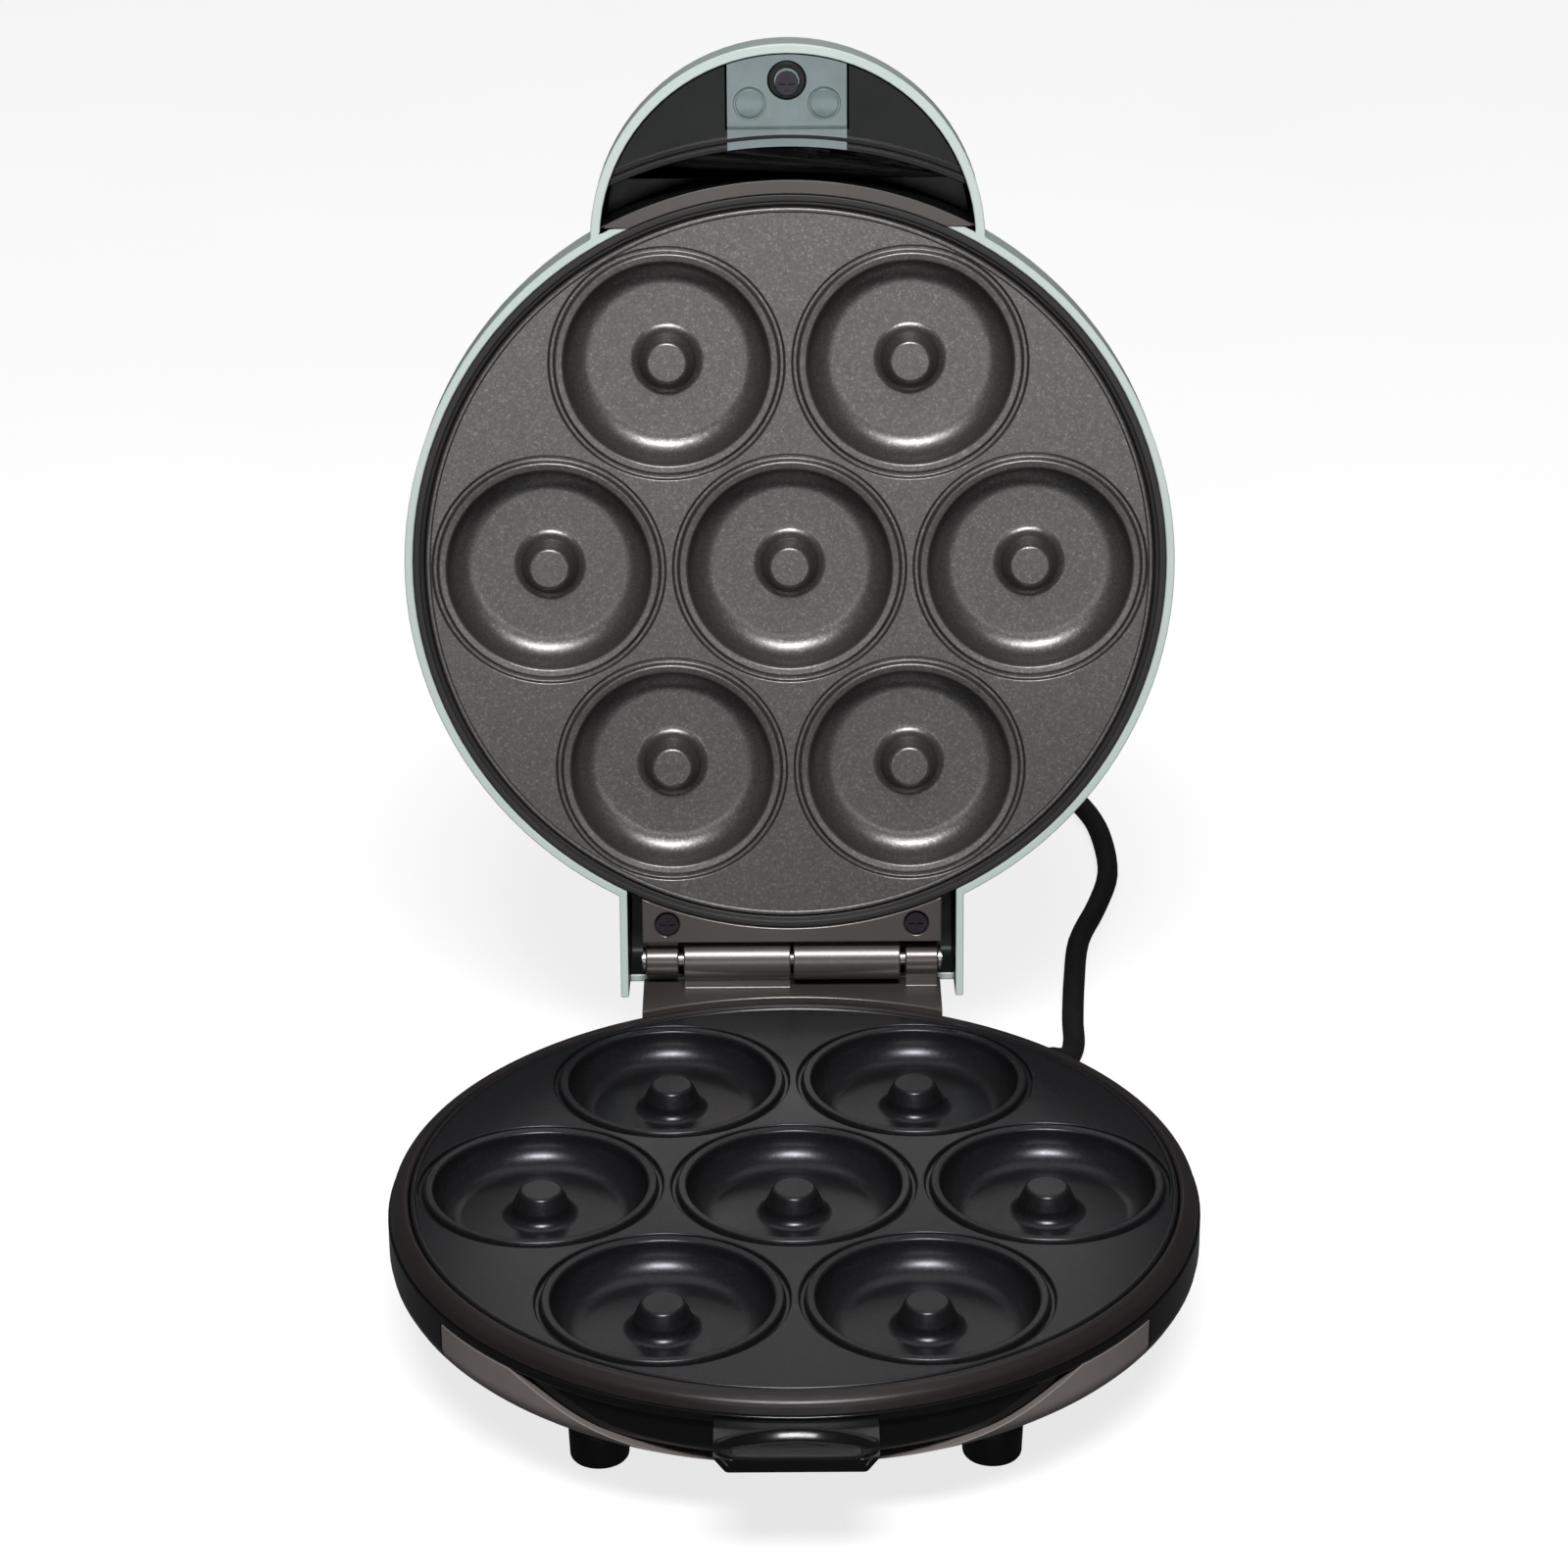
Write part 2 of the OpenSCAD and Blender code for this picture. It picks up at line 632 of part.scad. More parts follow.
module power_cord() {
    color("#1a1a1a") tube(ROUTE, cord_d/2, 4, 10);
}

module cord_coil() {
    color("#1a1a1a") translate([coil_c[0], coil_c[1], 0]) difference() {
        cylinder(h = 2*cord_d, r = coil_out);
        translate([0, 0, -1]) cylinder(h = 2*cord_d + 2, r = coil_in);
    }
}

module cord_tie() {
    color("#2a2a2a") translate([coil_c[0] + coil_r, coil_c[1] - 4, 0]) difference() {
        box(-cord_d - 1.8, cord_d + 1.2, 0, 8, 0, 2*cord_d + 1.2);
        box(-cord_d - 0.6, cord_d + 0.1, -1, 9, -1, 2*cord_d + 0.1);
    }
}

module plug_body() {
    half = plug_l/2;
    toe = 6;
    heel = 14;
    color("#1a1a1a") translate([plug_at[0], plug_at[1], 0]) {
        linear_extrude(plug_h) polygon(concat(
            arc([half - toe, toe - half], toe, -90, 0, 4), arc([half - heel, half - heel], heel, 0, 75, 5),
            arc([heel - half, half - heel], heel, 105, 180, 5),
            arc([toe - half, toe - half], toe, 180, 270, 4)));
        translate([0, half - 1, plug_h/2]) rotate([-90, 0, 0]) cylinder(h = 17, r1 = 6, r2 = cord_d/2 + 0.8);
    }
}

module plug_pins() {
    color("#c9b26a") translate([plug_at[0], plug_at[1] - 4, plug_h + 0.05]) {
        box(-2, 2, -14, -6, 0, 22);
        for (s = [-1, 1]) box(s*11 - 3.2, s*11 + 3.2, 6, 10, 0, 17);
    }
}

// ---------------------------------------------------------------- lid

module dome_solid(o, low) {
    rotate_extrude($fn = 128) polygon(concat([[0, low], [body_r - o, low]], dome(o)));
}

module handle_solid(o, low) {
    round_r = 8;
    translate([0, -handle_y, 0]) rotate_extrude($fn = 128) polygon(concat([[0, low], [handle_r - o, low]],
        arc([handle_r - round_r, handle_h - round_r], round_r - o, 0, 90, 8), [[0, handle_h - o]]));
}

module hinge_solid(o, low) {
    half = hinge_w/2 - o;
    back = block_back - o;
    translate([-half, 0, 0]) rotate([90, 0, 90]) linear_extrude(2*half) polygon(concat(
        [[hinge_y - 38, low], [back, low]],
        arc([back - 12 + o, lid_knee], 12 - o, 0, 60, 5),
        [[hinge_y - 24, 31 - o], [hinge_y - 38, 31 - o]]));
}

module lid_shell() {
    color("#dfe9e4") difference() {
        union() {
            dome_solid(0, lip_up);
            handle_solid(0, lip_up);
            hinge_solid(0, lip_up);
        }
        dome_solid(wall, -1);
        difference() {
            handle_solid(handle_wall, -1);
            translate([0, 0, -2]) cylinder(h = lid_h + 4, r = body_r, $fn = 128);
            translate([0, -lamp_screw_y, cover_up + cover_t + 0.05]) cylinder(h = lid_h, r = 4);
        }
        difference() {
            hinge_solid(cheek, -1);
            for (s = [-1, 1]) translate([s*lid_screw_x, lid_screw_y, 5.5])
                cylinder(h = lid_h, r = 3.4, $fn = 32);
        }
        // The rear opens between the cheeks, so that the lid clears the base as it swings
        box(-inner_w/2, inner_w/2, body_r, block_back + 1, -1, hinge_up + 7);
        for (s = [-1, 1]) translate([s*lid_screw_x, lid_screw_y, 0])
            cylinder(h = 13, r = screw_r - 0.05, $fn = 24);
        translate([0, -lamp_screw_y, 0]) cylinder(h = 12, r = screw_r - 0.05, $fn = 24);
        for (s = [-1, 1]) translate([s*lamp_x, -lamp_y, 0]) cylinder(h = lid_h, r = 3.05);
    }
}

module lid_bezel() {
    outer = body_r - wall - 0.1;
    lug_r = body_r - 5.6;
    lug_z = post_drop + 0.1;
    color("#4a4745") difference() {
        union() {
            rotate_extrude($fn = 128) polygon(concat(
                [[plate_r + gap, rim_drop + 0.1], [plate_r + gap, 1.4], [plate_r + gap + 0.8, 0.8],
                 [plate_r + gap + 1.2, 0.8], [plate_r + gap + 1.6, 0.4], [outer - 0.4, 0.4], [outer, 0.8],
                 [outer, rim_drop + 2.6], [plate_r - ledge_w, rim_drop + 2.6],
                 [plate_r - ledge_w, rim_drop + 0.1]]));
            for (p = POSTS) hull() {
                translate([p[0], p[1], lug_z]) cylinder(h = lug_t, r = post_r + 1, $fn = 32);
                translate([p[0], p[1], 0]*lug_r/post_ring_r + [0, 0, lug_z])
                    cylinder(h = lug_t, r = 2.4, $fn = 32);
            }
            at_each(POSTS*lug_r/post_ring_r) translate([0, 0, rim_drop + 2])
                cylinder(h = lug_z + lug_t - rim_drop - 2, r = 2.4);
        }
        at_each(POSTS) cylinder(h = 30, r = screw_r + gap, $fn = 24);
    }
}

module upper_plate() {
    color("#5a5a5c") mirror([0, 0, 1]) ring_plate();
}

module upper_heater() {
    color("#8d8a84") mirror([0, 0, 1]) heater_loop();
}

module upper_reflector() {
    color("silver") mirror([0, 0, 1]) heat_shield();
}

module upper_plate_screws() {
    color("silver") mirror([0, 0, 1]) at_each(POSTS)
        translate([0, 0, -post_drop - 0.1 - lug_t]) screw(lug_t + 9);
}

module upper_reflector_screws() {
    color("silver") mirror([0, 0, 1]) at_each(SHIELD_POSTS)
        translate([0, 0, -shield_drop - shield_t]) screw(8);
}

// The lid's half of the hinge: a plate with the right barrel and the left knuckle
module lid_hinge_bracket() {
    flange_back = hinge_y - barrel_d/2 - ear_gap;
    low = 0.7;
    color("#4a4542") difference() {
        union() {
            difference() {
                box(-bracket_w/2, bracket_w/2, root_y, flange_back, low, 3.2);
                translate([0, 0, -1]) cylinder(h = 9, r = body_r - wall + gap, $fn = 128);
            }
            for (s = [-1, 1]) translate([s*lid_screw_x, lid_screw_y, low])
                cylinder(h = 5.4 - low, r = head_r + 1.4, $fn = 32);
            for (x = [[split, barrel_end], [-knuckle_out, -knuckle_in]]) {
                box(x[0], x[1], flange_back - 2, flange_back, low, hinge_up + web_t/2);
                box(x[0], x[1], flange_back - 1, hinge_y, hinge_up - web_t/2, hinge_up + web_t/2);
            }
            translate([0, hinge_y, hinge_up]) bar_x(split, barrel_end, barrel_d/2);
            translate([0, hinge_y, hinge_up]) bar_x(-knuckle_out, -knuckle_in, knuckle_d/2);
        }
        translate([0, hinge_y, hinge_up]) bar_x(-bracket_w, bracket_w, pin_d/2 + run);
        for (s = [-1, 1]) translate([s*lid_screw_x, lid_screw_y, -1]) {
            cylinder(h = 9, r = screw_r + gap, $fn = 24);
            cylinder(h = 4, r = head_r + 0.4, $fn = 32);
        }
    }
}

module lid_bracket_screws() {
    color("silver") for (s = [-1, 1]) translate([s*lid_screw_x, lid_screw_y, 3]) screw(9);
}

// The finger trough's lining, from a sill on the lid's lip to the trough's outer wall
module trough_lining() {
    outer = body_r + trough_w + liner_t;
    intersection() {
        union() {
            handle_solid(handle_wall + gap, cover_up - 0.6);
            handle_solid(handle_wall + 1, 0.1);
        }
        rotate_extrude($fn = 128) polygon([[body_r - sill_w, 0.1], [body_r + gap + liner_t, 0.1],
            [body_r + gap + liner_t, liner_h - liner_t], [body_r + trough_w, liner_h - liner_t],
            [body_r + trough_w, cover_up - 0.6], [outer, cover_up - 0.6], [outer, liner_h],
            [body_r + gap, liner_h], [body_r + gap, lip_up - 0.05], [body_r - sill_w, lip_up - 0.05]]);
        box(-handle_r, handle_r, -handle_tip, -handle_y - 4, -1, 30);
    }
}

// The cover inside the handle, with the finger trough's lining
module handle_inner_cover() {
    color("#1d1f20") difference() {
        union() {
            intersection() {
                handle_solid(handle_wall + gap, cover_up);
                difference() {
                    box(-handle_r, handle_r, -handle_tip, 0, cover_up, cover_up + cover_t);
                    cylinder(h = 30, r = body_r + trough_w, $fn = 128);
                }
            }
            intersection() {
                handle_solid(handle_wall + gap, cover_up - 0.9);
                difference() {
                    translate([0, 0, cover_up - 0.9])
                        cylinder(h = 0.9 + cover_t, r = body_r + trough_w + 3.6, $fn = 128);
                    cylinder(h = 30, r = body_r + trough_w + 2.2, $fn = 128);
                }
                box(-handle_r, handle_r, -handle_tip, -handle_y, -1, 30);
            }
            trough_lining();
        }
        box(-lamp_cover_w/2 - 0.1, lamp_cover_w/2 + 0.1, -handle_tip, -lamp_cover_y + 0.1, -1, 10);
    }
}

module lamp_cover() {
    color("#9fb0b4") difference() {
        union() {
            intersection() {
                handle_solid(handle_wall + gap, cover_up - 0.4);
                box(-lamp_cover_w/2, lamp_cover_w/2, -handle_tip, -lamp_cover_y,
                    cover_up - 0.4, cover_up + 1.6);
            }
            for (s = [-1, 1]) translate([s*lamp_x, -lamp_y, cover_up]) cylinder(h = 8, r = 4.3, $fn = 48);
        }
        for (s = [-1, 1]) translate([s*lamp_x, -lamp_y, cover_up + 0.6]) cylinder(h = 20, r = 2.9, $fn = 48);
        translate([0, -lamp_screw_y, -1]) cylinder(h = 20, r = screw_r + gap, $fn = 24);
    }
}

module lamp_cover_screw() {
    color("#26282a") translate([0, -lamp_screw_y, cover_up - 0.42]) screw(8);
}

module lamp() {
    cylinder(h = 9, r = 2.6, $fn = 32);
    translate([0, 0, 9]) sphere(r = 2.6, $fn = 32);
}

module power_lamp() {
    color("#e07050") translate([-lamp_x, -lamp_y, cover_up + 0.8]) lamp();
}

module ready_lamp() {
    color("#70c080") translate([lamp_x, -lamp_y, cover_up + 0.8]) lamp();
}

module lens() {
    translate([0, 0, handle_h - handle_wall - 1.5]) cylinder(h = handle_wall + 1.5, r = 3, $fn = 32);
    translate([0, 0, handle_h - handle_wall - 1.5]) cylinder(h = 1.4, r = 4, $fn = 32);
    translate([0, 0, handle_h]) intersection() {
        translate([0, 0, -5]) sphere(r = 5.83, $fn = 48);
        cylinder(h = 3, r = 3, $fn = 32);
    }
}

module power_lens() {
    color("#c23a2c") translate([-lamp_x, -lamp_y, 0]) lens();
}

module ready_lens() {
    color("#3aa04c") translate([lamp_x, -lamp_y, 0]) lens();
}

module lid_wiring() {
    z = shield_drop + 5.5;
    cold_end = COLD_ENDS[1];
    color("#7a2b22") {
        tube([[10, hinge_y - 16, z], [8, (hinge_y - 16 + cold_end[1])/2, z], [6, cold_end[1] + 7, z + 1],
            [cold_end[0] - 5.5, cold_end[1] + 1.3, z]], 1, 2, 6);
        tube([[-10, hinge_y - 16, z], [-14, 60, z], [-16, 0, z + 1], [-8, -60, z], [-6, -body_r + 8, z - 4]],
            1, 2, 6);
    }
}

in_place() base_housing();
in_place() translate([0, 0, part_z]) base_bezel();
in_place() lower_plate();
in_place() lower_heater();
in_place() lower_reflector();
in_place() bottom_cover();
in_place() bottom_screws();
in_place() front_trim_band();
in_place() front_grip();
in_place() front_feet();
in_place() rear_feet();
in_place() base_hinge_bracket();
in_place() base_bracket_screws();
in_place() hinge_pin();
in_place() pin_clips();
in_place() lower_plate_screws();
in_place() lower_reflector_screws();
in_place() thermostat();
in_place() thermal_fuse();
in_place() terminal_block();
in_place() cord_clamp();
in_place() base_wiring();
in_place() strain_relief();
in_place() power_cord();
in_place() cord_coil();
in_place() cord_tie();
in_place() plug_body();
in_place() plug_pins();
in_lid() lid_shell();
in_lid() lid_bezel();
in_lid() upper_plate();
in_lid() upper_heater();
in_lid() upper_reflector();
in_lid() upper_plate_screws();
in_lid() upper_reflector_screws();
in_lid() lid_hinge_bracket();
in_lid() lid_bracket_screws();
in_lid() handle_inner_cover();
in_lid() lamp_cover();
in_lid() lamp_cover_screw();
in_lid() power_lamp();
in_lid() ready_lamp();
in_lid() power_lens();
in_lid() ready_lens();
in_lid() lid_wiring();
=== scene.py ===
import math

import bmesh
import bpy
from mathutils import Matrix, Vector


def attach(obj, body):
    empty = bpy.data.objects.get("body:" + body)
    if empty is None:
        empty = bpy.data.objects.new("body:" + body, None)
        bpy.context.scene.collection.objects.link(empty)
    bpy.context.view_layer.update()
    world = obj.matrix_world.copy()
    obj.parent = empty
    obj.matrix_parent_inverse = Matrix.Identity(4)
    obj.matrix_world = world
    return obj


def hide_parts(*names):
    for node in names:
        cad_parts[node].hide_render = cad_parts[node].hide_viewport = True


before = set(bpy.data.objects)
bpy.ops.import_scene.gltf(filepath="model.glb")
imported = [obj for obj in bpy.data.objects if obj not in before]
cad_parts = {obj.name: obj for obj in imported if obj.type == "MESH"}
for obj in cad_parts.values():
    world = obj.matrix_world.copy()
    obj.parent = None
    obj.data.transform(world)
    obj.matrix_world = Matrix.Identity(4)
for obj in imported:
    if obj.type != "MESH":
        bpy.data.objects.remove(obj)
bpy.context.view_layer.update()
print("frame loaded")

mm = 0.001

# sizes that several pieces share, in millimetres, in the body's own frame
body = {
    "shiftY": -26, "radius": 104, "parting": 48, "hingeY": 112.9, "hingeUp": 7.1, "openAngle": 98,
    "plate": 98.4, "land": 0.8, "pitch": 65, "handle": 52.3, "tip": 141.2,
}
handleY = body["handle"] - body["tip"]   # middle of the half-round handle
inBody = Matrix.Translation((0, body["shiftY"] * mm, 0))
hingeAt = Vector((0, body["hingeY"], body["parting"] + body["hingeUp"])) * mm
inLid = (
    inBody @ Matrix.Translation(hingeAt) @ Matrix.Rotation(-math.radians(body["openAngle"]), 4, "X")
    @ Matrix.Translation(-hingeAt) @ Matrix.Translation((0, 0, body["parting"] * mm))
)
inBase = inBody @ Matrix.Translation((0, 0, body["parting"] * mm))   # parting plane at z = 0

# camera

camera = {"place": (-0.0019, -1.0364, 0.6205), "tilt": 65.49, "roll": -0.37, "lens": 103.6}
cameraData = bpy.data.cameras.new("camera")
cameraData.lens = camera["lens"]
cameraData.sensor_width = 36
cameraData.clip_start = 0.05
cameraData.clip_end = 20
cameraObject = bpy.data.objects.new("camera", cameraData)
bpy.context.scene.collection.objects.link(cameraObject)
cameraObject.matrix_world = (
    Matrix.Translation(camera["place"]) @ Matrix.Rotation(math.radians(camera["tilt"]), 4, "X")
    @ Matrix.Rotation(math.radians(camera["roll"]), 4, "Z")
)
bpy.context.scene.camera = cameraObject
bpy.context.scene.view_settings.view_transform = "Standard"
print("camera placed")


# shader maths: a Wire is one output of a node, and sums of wires add the nodes they need

class Wire:
    def __init__(self, tree, socket=None):
        self.tree = tree
        self.socket = socket

    def node(self, kind, settings={}, sockets={}, output=0):
        made = self.tree.nodes.new("ShaderNode" + kind)
        for name, value in settings.items():
            if name == "stops":
                setStops(made.color_ramp, value)
            else:
                setattr(made, name, value)
        for name, value in sockets.items():
            if isinstance(value, Wire):
                self.tree.links.new(value.socket, made.inputs[name])
            else:
                made.inputs[name].default_value = value
        return Wire(self.tree, made.outputs[output])

    def math(self, operation, *values):
        return self.node("Math", {"operation": operation}, dict(enumerate(values)))

    def __add__(self, other):
        return self.math("ADD", self, other)

    def __mul__(self, other):
        return self.math("MULTIPLY", self, other)

    __radd__ = __add__
    __rmul__ = __mul__


def setStops(ramp, stops):
    while len(ramp.elements) < len(stops):
        ramp.elements.new(0.5)
    for element, (position, value) in zip(ramp.elements, stops):
        element.position = position
        element.color = (value, value, value, 1)


def tint(red, green, blue):
    # a colour as it is read on a screen, 0 to 255, made linear
    steps = [value / 255 for value in (red, green, blue)]
    return tuple(s / 12.92 if s <= 0.04045 else ((s + 0.055) / 1.055) ** 2.4 for s in steps) + (1,)


def mixColours(wire, dark, light, factor):
    return wire.node("Mix", {"data_type": "RGBA"}, {0: factor, 6: dark, 7: light}, 2)


def startMaterial(name):
    made = bpy.data.materials.new(name)
    made.use_nodes = True
    made.node_tree.nodes.clear()
    wire = Wire(made.node_tree)
    place = wire.node("TexCoord", output="Object")
    return made, wire, place


def endMaterial(made, wire, sockets, constants):
    shader = wire.node("BsdfPrincipled", {}, {**constants, **sockets}, "BSDF")
    output = made.node_tree.nodes.new("ShaderNodeOutputMaterial")
    made.node_tree.links.new(shader.socket, output.inputs["Surface"])
    return made


def noise(wire, place, scale, detail=2.0, rough=0.5):
    return wire.node("TexNoise", {}, {"Vector": place, "Scale": scale, "Detail": detail, "Roughness": rough})


def bump(wire, height, strength, distance):
    return wire.node("Bump", {}, {"Height": height, "Strength": strength, "Distance": distance})


def mouldedPlastic(name, dark, light, rough, roughSpread, grain, grainDepth, specular=0.5):
    # broad drift of colour, fine moulded grain, and a little wear in the gloss
    made, wire, place = startMaterial(name)
    drift = wire.node("ValToRGB", {"stops": [(0.3, 0), (0.7, 1)]}, {"Fac": noise(wire, place, 22, 3)})
    fine = noise(wire, place, grain, 2, 0.6)
    haze = noise(wire, place, 60, 4, 0.65)
    scuffs = wire.node("ValToRGB", {"stops": [(0.52, 0), (0.75, 1)]},
        {"Fac": noise(wire, place, 140, 5, 0.7)})
    return endMaterial(made, wire, {
        "Base Color": mixColours(wire, dark, light, drift * 0.7 + fine * 0.3),
        "Roughness": haze * roughSpread + (rough - roughSpread / 2) + scuffs * (roughSpread * 0.4),
        "Normal": bump(wire, fine, 0.35, grainDepth),
    }, {"Specular IOR Level": specular})


def nonstickCoating(name, ground, fleck, deep, shine, peel=0.3):
    # a dark baked coating over metal: fine flakes, a little orange peel, broad drift of gloss
    made, wire, place = startMaterial(name)
    cells = wire.node("TexVoronoi", {}, {"Vector": place, "Scale": 2100.0}, "Color")
    sparkle = wire.node("SeparateColor", {}, {"Color": cells}, 0)
    flakes = wire.node("ValToRGB", {"stops": [(0.4, 0), (0.85, 0.4), (1.0, 1)]}, {"Fac": sparkle})
    clouds = noise(wire, place, 950, 3, 0.6)
    broad = noise(wire, place, 18, 3)
    speckle = wire.node("ValToRGB", {"stops": [(0.3, 0), (0.7, 1)]}, {"Fac": clouds})
    shade = mixColours(wire, deep, ground, broad * 0.4 + speckle * 0.6)
    return endMaterial(made, wire, {
        "Base Color": mixColours(wire, shade, fleck, flakes * 0.45 * (speckle * 0.6 + 0.4)),
        "Roughness": clouds * 0.1 + broad * 0.06 + (shine - 0.08),
        "Metallic": flakes * 0.15 + 0.78,
        "Normal": bump(wire, clouds + sparkle * 0.4, peel, 0.00004),
    }, {"Specular IOR Level": 0.5})


def brushedMetal(name, dark, light, rough, direction, streak):
    # fine drawn lines along one direction, with dull patches
    made, wire, place = startMaterial(name)
    stretched = wire.node("Mapping", {}, {"Vector": place, "Scale": direction})
    lines = noise(wire, stretched, streak, 4, 0.7)
    patches = noise(wire, place, 45, 3)
    return endMaterial(made, wire, {
        "Base Color": mixColours(wire, dark, light, lines * 0.6 + patches * 0.4),
        "Roughness": lines * 0.18 + patches * 0.12 + (rough - 0.12),
        "Normal": bump(wire, lines, 0.25, 0.00003),
    }, {"Metallic": 1.0})


def rubber(name, dark, light):
    made, wire, place = startMaterial(name)
    dust = wire.node("ValToRGB", {"stops": [(0.45, 0), (0.8, 1)]}, {"Fac": noise(wire, place, 90, 5, 0.7)})
    grain = noise(wire, place, 1100, 2)
    return endMaterial(made, wire, {
        "Base Color": mixColours(wire, dark, light, dust * 0.6 + grain * 0.2),
        "Roughness": grain * 0.14 + dust * 0.12 + 0.5,
        "Normal": bump(wire, grain, 0.4, 0.00008),
    }, {"Specular IOR Level": 0.35})


def clearPlastic(name, dark, light, glow):
    # translucent plastic: the inside scatters, with darker streaks where it is thick
    made, wire, place = startMaterial(name)
    streaks = noise(wire, place, 120, 3, 0.6)
    return endMaterial(made, wire, {
        "Base Color": mixColours(wire, dark, light, streaks),
        "Roughness": streaks * 0.1 + 0.12,
        "Normal": bump(wire, noise(wire, place, 500, 2), 0.15, 0.00005),
    }, {"Specular IOR Level": 0.5, "Transmission Weight": glow, "IOR": 1.45})


finishes = {
    "black_gloss_plastic": mouldedPlastic("glossBlack", tint(10, 10, 10), tint(17, 17, 18),
        0.13, 0.08, 900, 0.00002, 0.42),
    "brown_black_plastic": mouldedPlastic("brownBlack", tint(32, 27, 27), tint(44, 38, 38),
        0.34, 0.14, 1300, 0.00005, 0.5),
    "lid_frame_plastic": mouldedPlastic("lidFrame", tint(40, 39, 39), tint(54, 52, 51),
        0.42, 0.14, 1300, 0.00005, 0.45),
    # painted reflection: the band's pale warm grey stands in for the floor reflected in the glossy black wall
    "satin_trim": mouldedPlastic("trimPaintedReflection", tint(120, 113, 110), tint(142, 134, 131),
        0.38, 0.12, 1500, 0.00004, 0.6),
    "black_matte_plastic": mouldedPlastic("matteBlack", tint(12, 15, 15), tint(24, 27, 26),
        0.34, 0.14, 1200, 0.00004, 0.3),
    "mint_white_plastic": mouldedPlastic("mintWhite", tint(206, 222, 216), tint(222, 234, 230),
        0.2, 0.1, 900, 0.00002, 0.5),
    "lamp_cover_plastic": clearPlastic("lampCover", tint(120, 136, 140), tint(158, 176, 176), 0.25),
    "red_lens": clearPlastic("redLens", tint(150, 30, 24), tint(205, 62, 48), 0.45),
    "green_lens": clearPlastic("greenLens", tint(36, 130, 60), tint(70, 175, 92), 0.45),
    "nonstick_coating": nonstickCoating("coating", tint(124, 121, 119), tint(190, 187, 184),
        tint(100, 98, 97), 0.36),
    "heater_sheath": brushedMetal("heaterSheath", tint(96, 92, 86), tint(150, 146, 138),
        0.45, (1, 1, 1), 300),
    "bare_aluminium": brushedMetal("aluminium", tint(160, 160, 160), tint(205, 205, 206),
        0.35, (1, 12, 12), 120),
    "zinc_screws": brushedMetal("zinc", tint(120, 120, 118), tint(176, 176, 172), 0.36, (1, 1, 6), 500),
    "hinge_steel": brushedMetal("steel", tint(132, 130, 128), tint(196, 194, 192), 0.3, (1, 14, 14), 260),
    "brass": brushedMetal("brass", tint(150, 124, 70), tint(206, 178, 112), 0.28, (8, 8, 1), 260),
    "black_rubber": rubber("footRubber", tint(14, 14, 15), tint(30, 30, 30)),
    "cord_sheath": rubber("cordSheath", tint(16, 16, 17), tint(34, 34, 34)),
    "plug_rubber": rubber("plugRubber", tint(18, 18, 19), tint(36, 36, 36)),
    "ceramic_white": mouldedPlastic("ceramic", tint(198, 190, 174), tint(222, 216, 204),
        0.4, 0.1, 800, 0.00004),
    "wire_sleeve": mouldedPlastic("wireSleeve", tint(110, 36, 28), tint(140, 52, 40), 0.4, 0.1, 800, 0.00003),
}
# painted shade: a darker, bluer shaded copy of the lid's coating, standing in for the shade on the
# upward-facing base plate
lowerCoatingShaded = nonstickCoating("lowerCoatingShaded", tint(66, 66, 69), tint(86, 86, 90),
    tint(56, 56, 59), 0.3, 0.16)
hingePaint = mouldedPlastic("hingePaint", tint(92, 88, 85), tint(112, 107, 104), 0.3, 0.1, 1300, 0.00003, 0.6)
hingePaint.node_tree.nodes["Principled BSDF"].inputs["Metallic"].default_value = 0.55
# painted shade: a dark green-black plastic for the shell's hollows, standing in for the shade inside them
shellPaintedShade = mouldedPlastic("shellPaintedShade", tint(24, 34, 31), tint(36, 47, 43), 0.4, 0.1, 1000, 0.00003, 0.4)
blackScrew = brushedMetal("blackScrew", tint(46, 43, 50), tint(84, 80, 88), 0.34, (1, 1, 6), 500)
rimBrown = mouldedPlastic("rimBrown", tint(78, 72, 70), tint(96, 90, 87), 0.34, 0.1, 1300, 0.00004, 0.55)
print("finishes made")


def finishPiece(name, bm, where, bodyName, slotName, stands=(), material=None, sharp=38):
    # merges, turns the faces outward, marks the hard edges, and hands the piece to its body
    bm.transform(where)
    bmesh.ops.remove_doubles(bm, verts=bm.verts, dist=0.000004)
    bmesh.ops.recalc_face_normals(bm, faces=bm.faces)
    for face in bm.faces:
        face.smooth = True
    for edge in bm.edges:
        edge.smooth = len(edge.link_faces) != 2 or edge.calc_face_angle(0) < math.radians(sharp)
    mesh = bpy.data.meshes.new(name)
    bm.to_mesh(mesh)
    bm.free()
    mesh.materials.append(material or finishes[slotName])
    piece = bpy.data.objects.new(name, mesh)
    bpy.context.scene.collection.objects.link(piece)
    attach(piece, bodyName)
    if stands:
        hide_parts(*stands)
    return piece


def evenNormals(piece):
    normals = piece.modifiers.new("normals", "WEIGHTED_NORMAL")
    normals.keep_sharp = True


def rounded(points, steps=5):
    # an open line of (r, z, fillet) points with its corners rounded, in millimetres
    line = []
    for index, (r, z, fillet) in enumerate(points):
        here = Vector((r, z))
        if not fillet or index in (0, len(points) - 1):
            line.append(here)
            continue
        before = Vector(points[index - 1][:2]) - here
        after = Vector(points[index + 1][:2]) - here
        half = before.angle(after) / 2
        reach = min(fillet / math.tan(half), before.length * 0.98, after.length * 0.98)
        radius = reach * math.tan(half)
        centre = here + (before.normalized() + after.normalized()).normalized() * (radius / math.sin(half))
        start = here + before.normalized() * reach - centre
        turn = start.angle_signed(here + after.normalized() * reach - centre)
        for step in range(steps + 1):
            spoke = start.copy()
            spoke.rotate(Matrix.Rotation(-turn * step / steps, 2))
            line.append(centre + spoke)
    return line


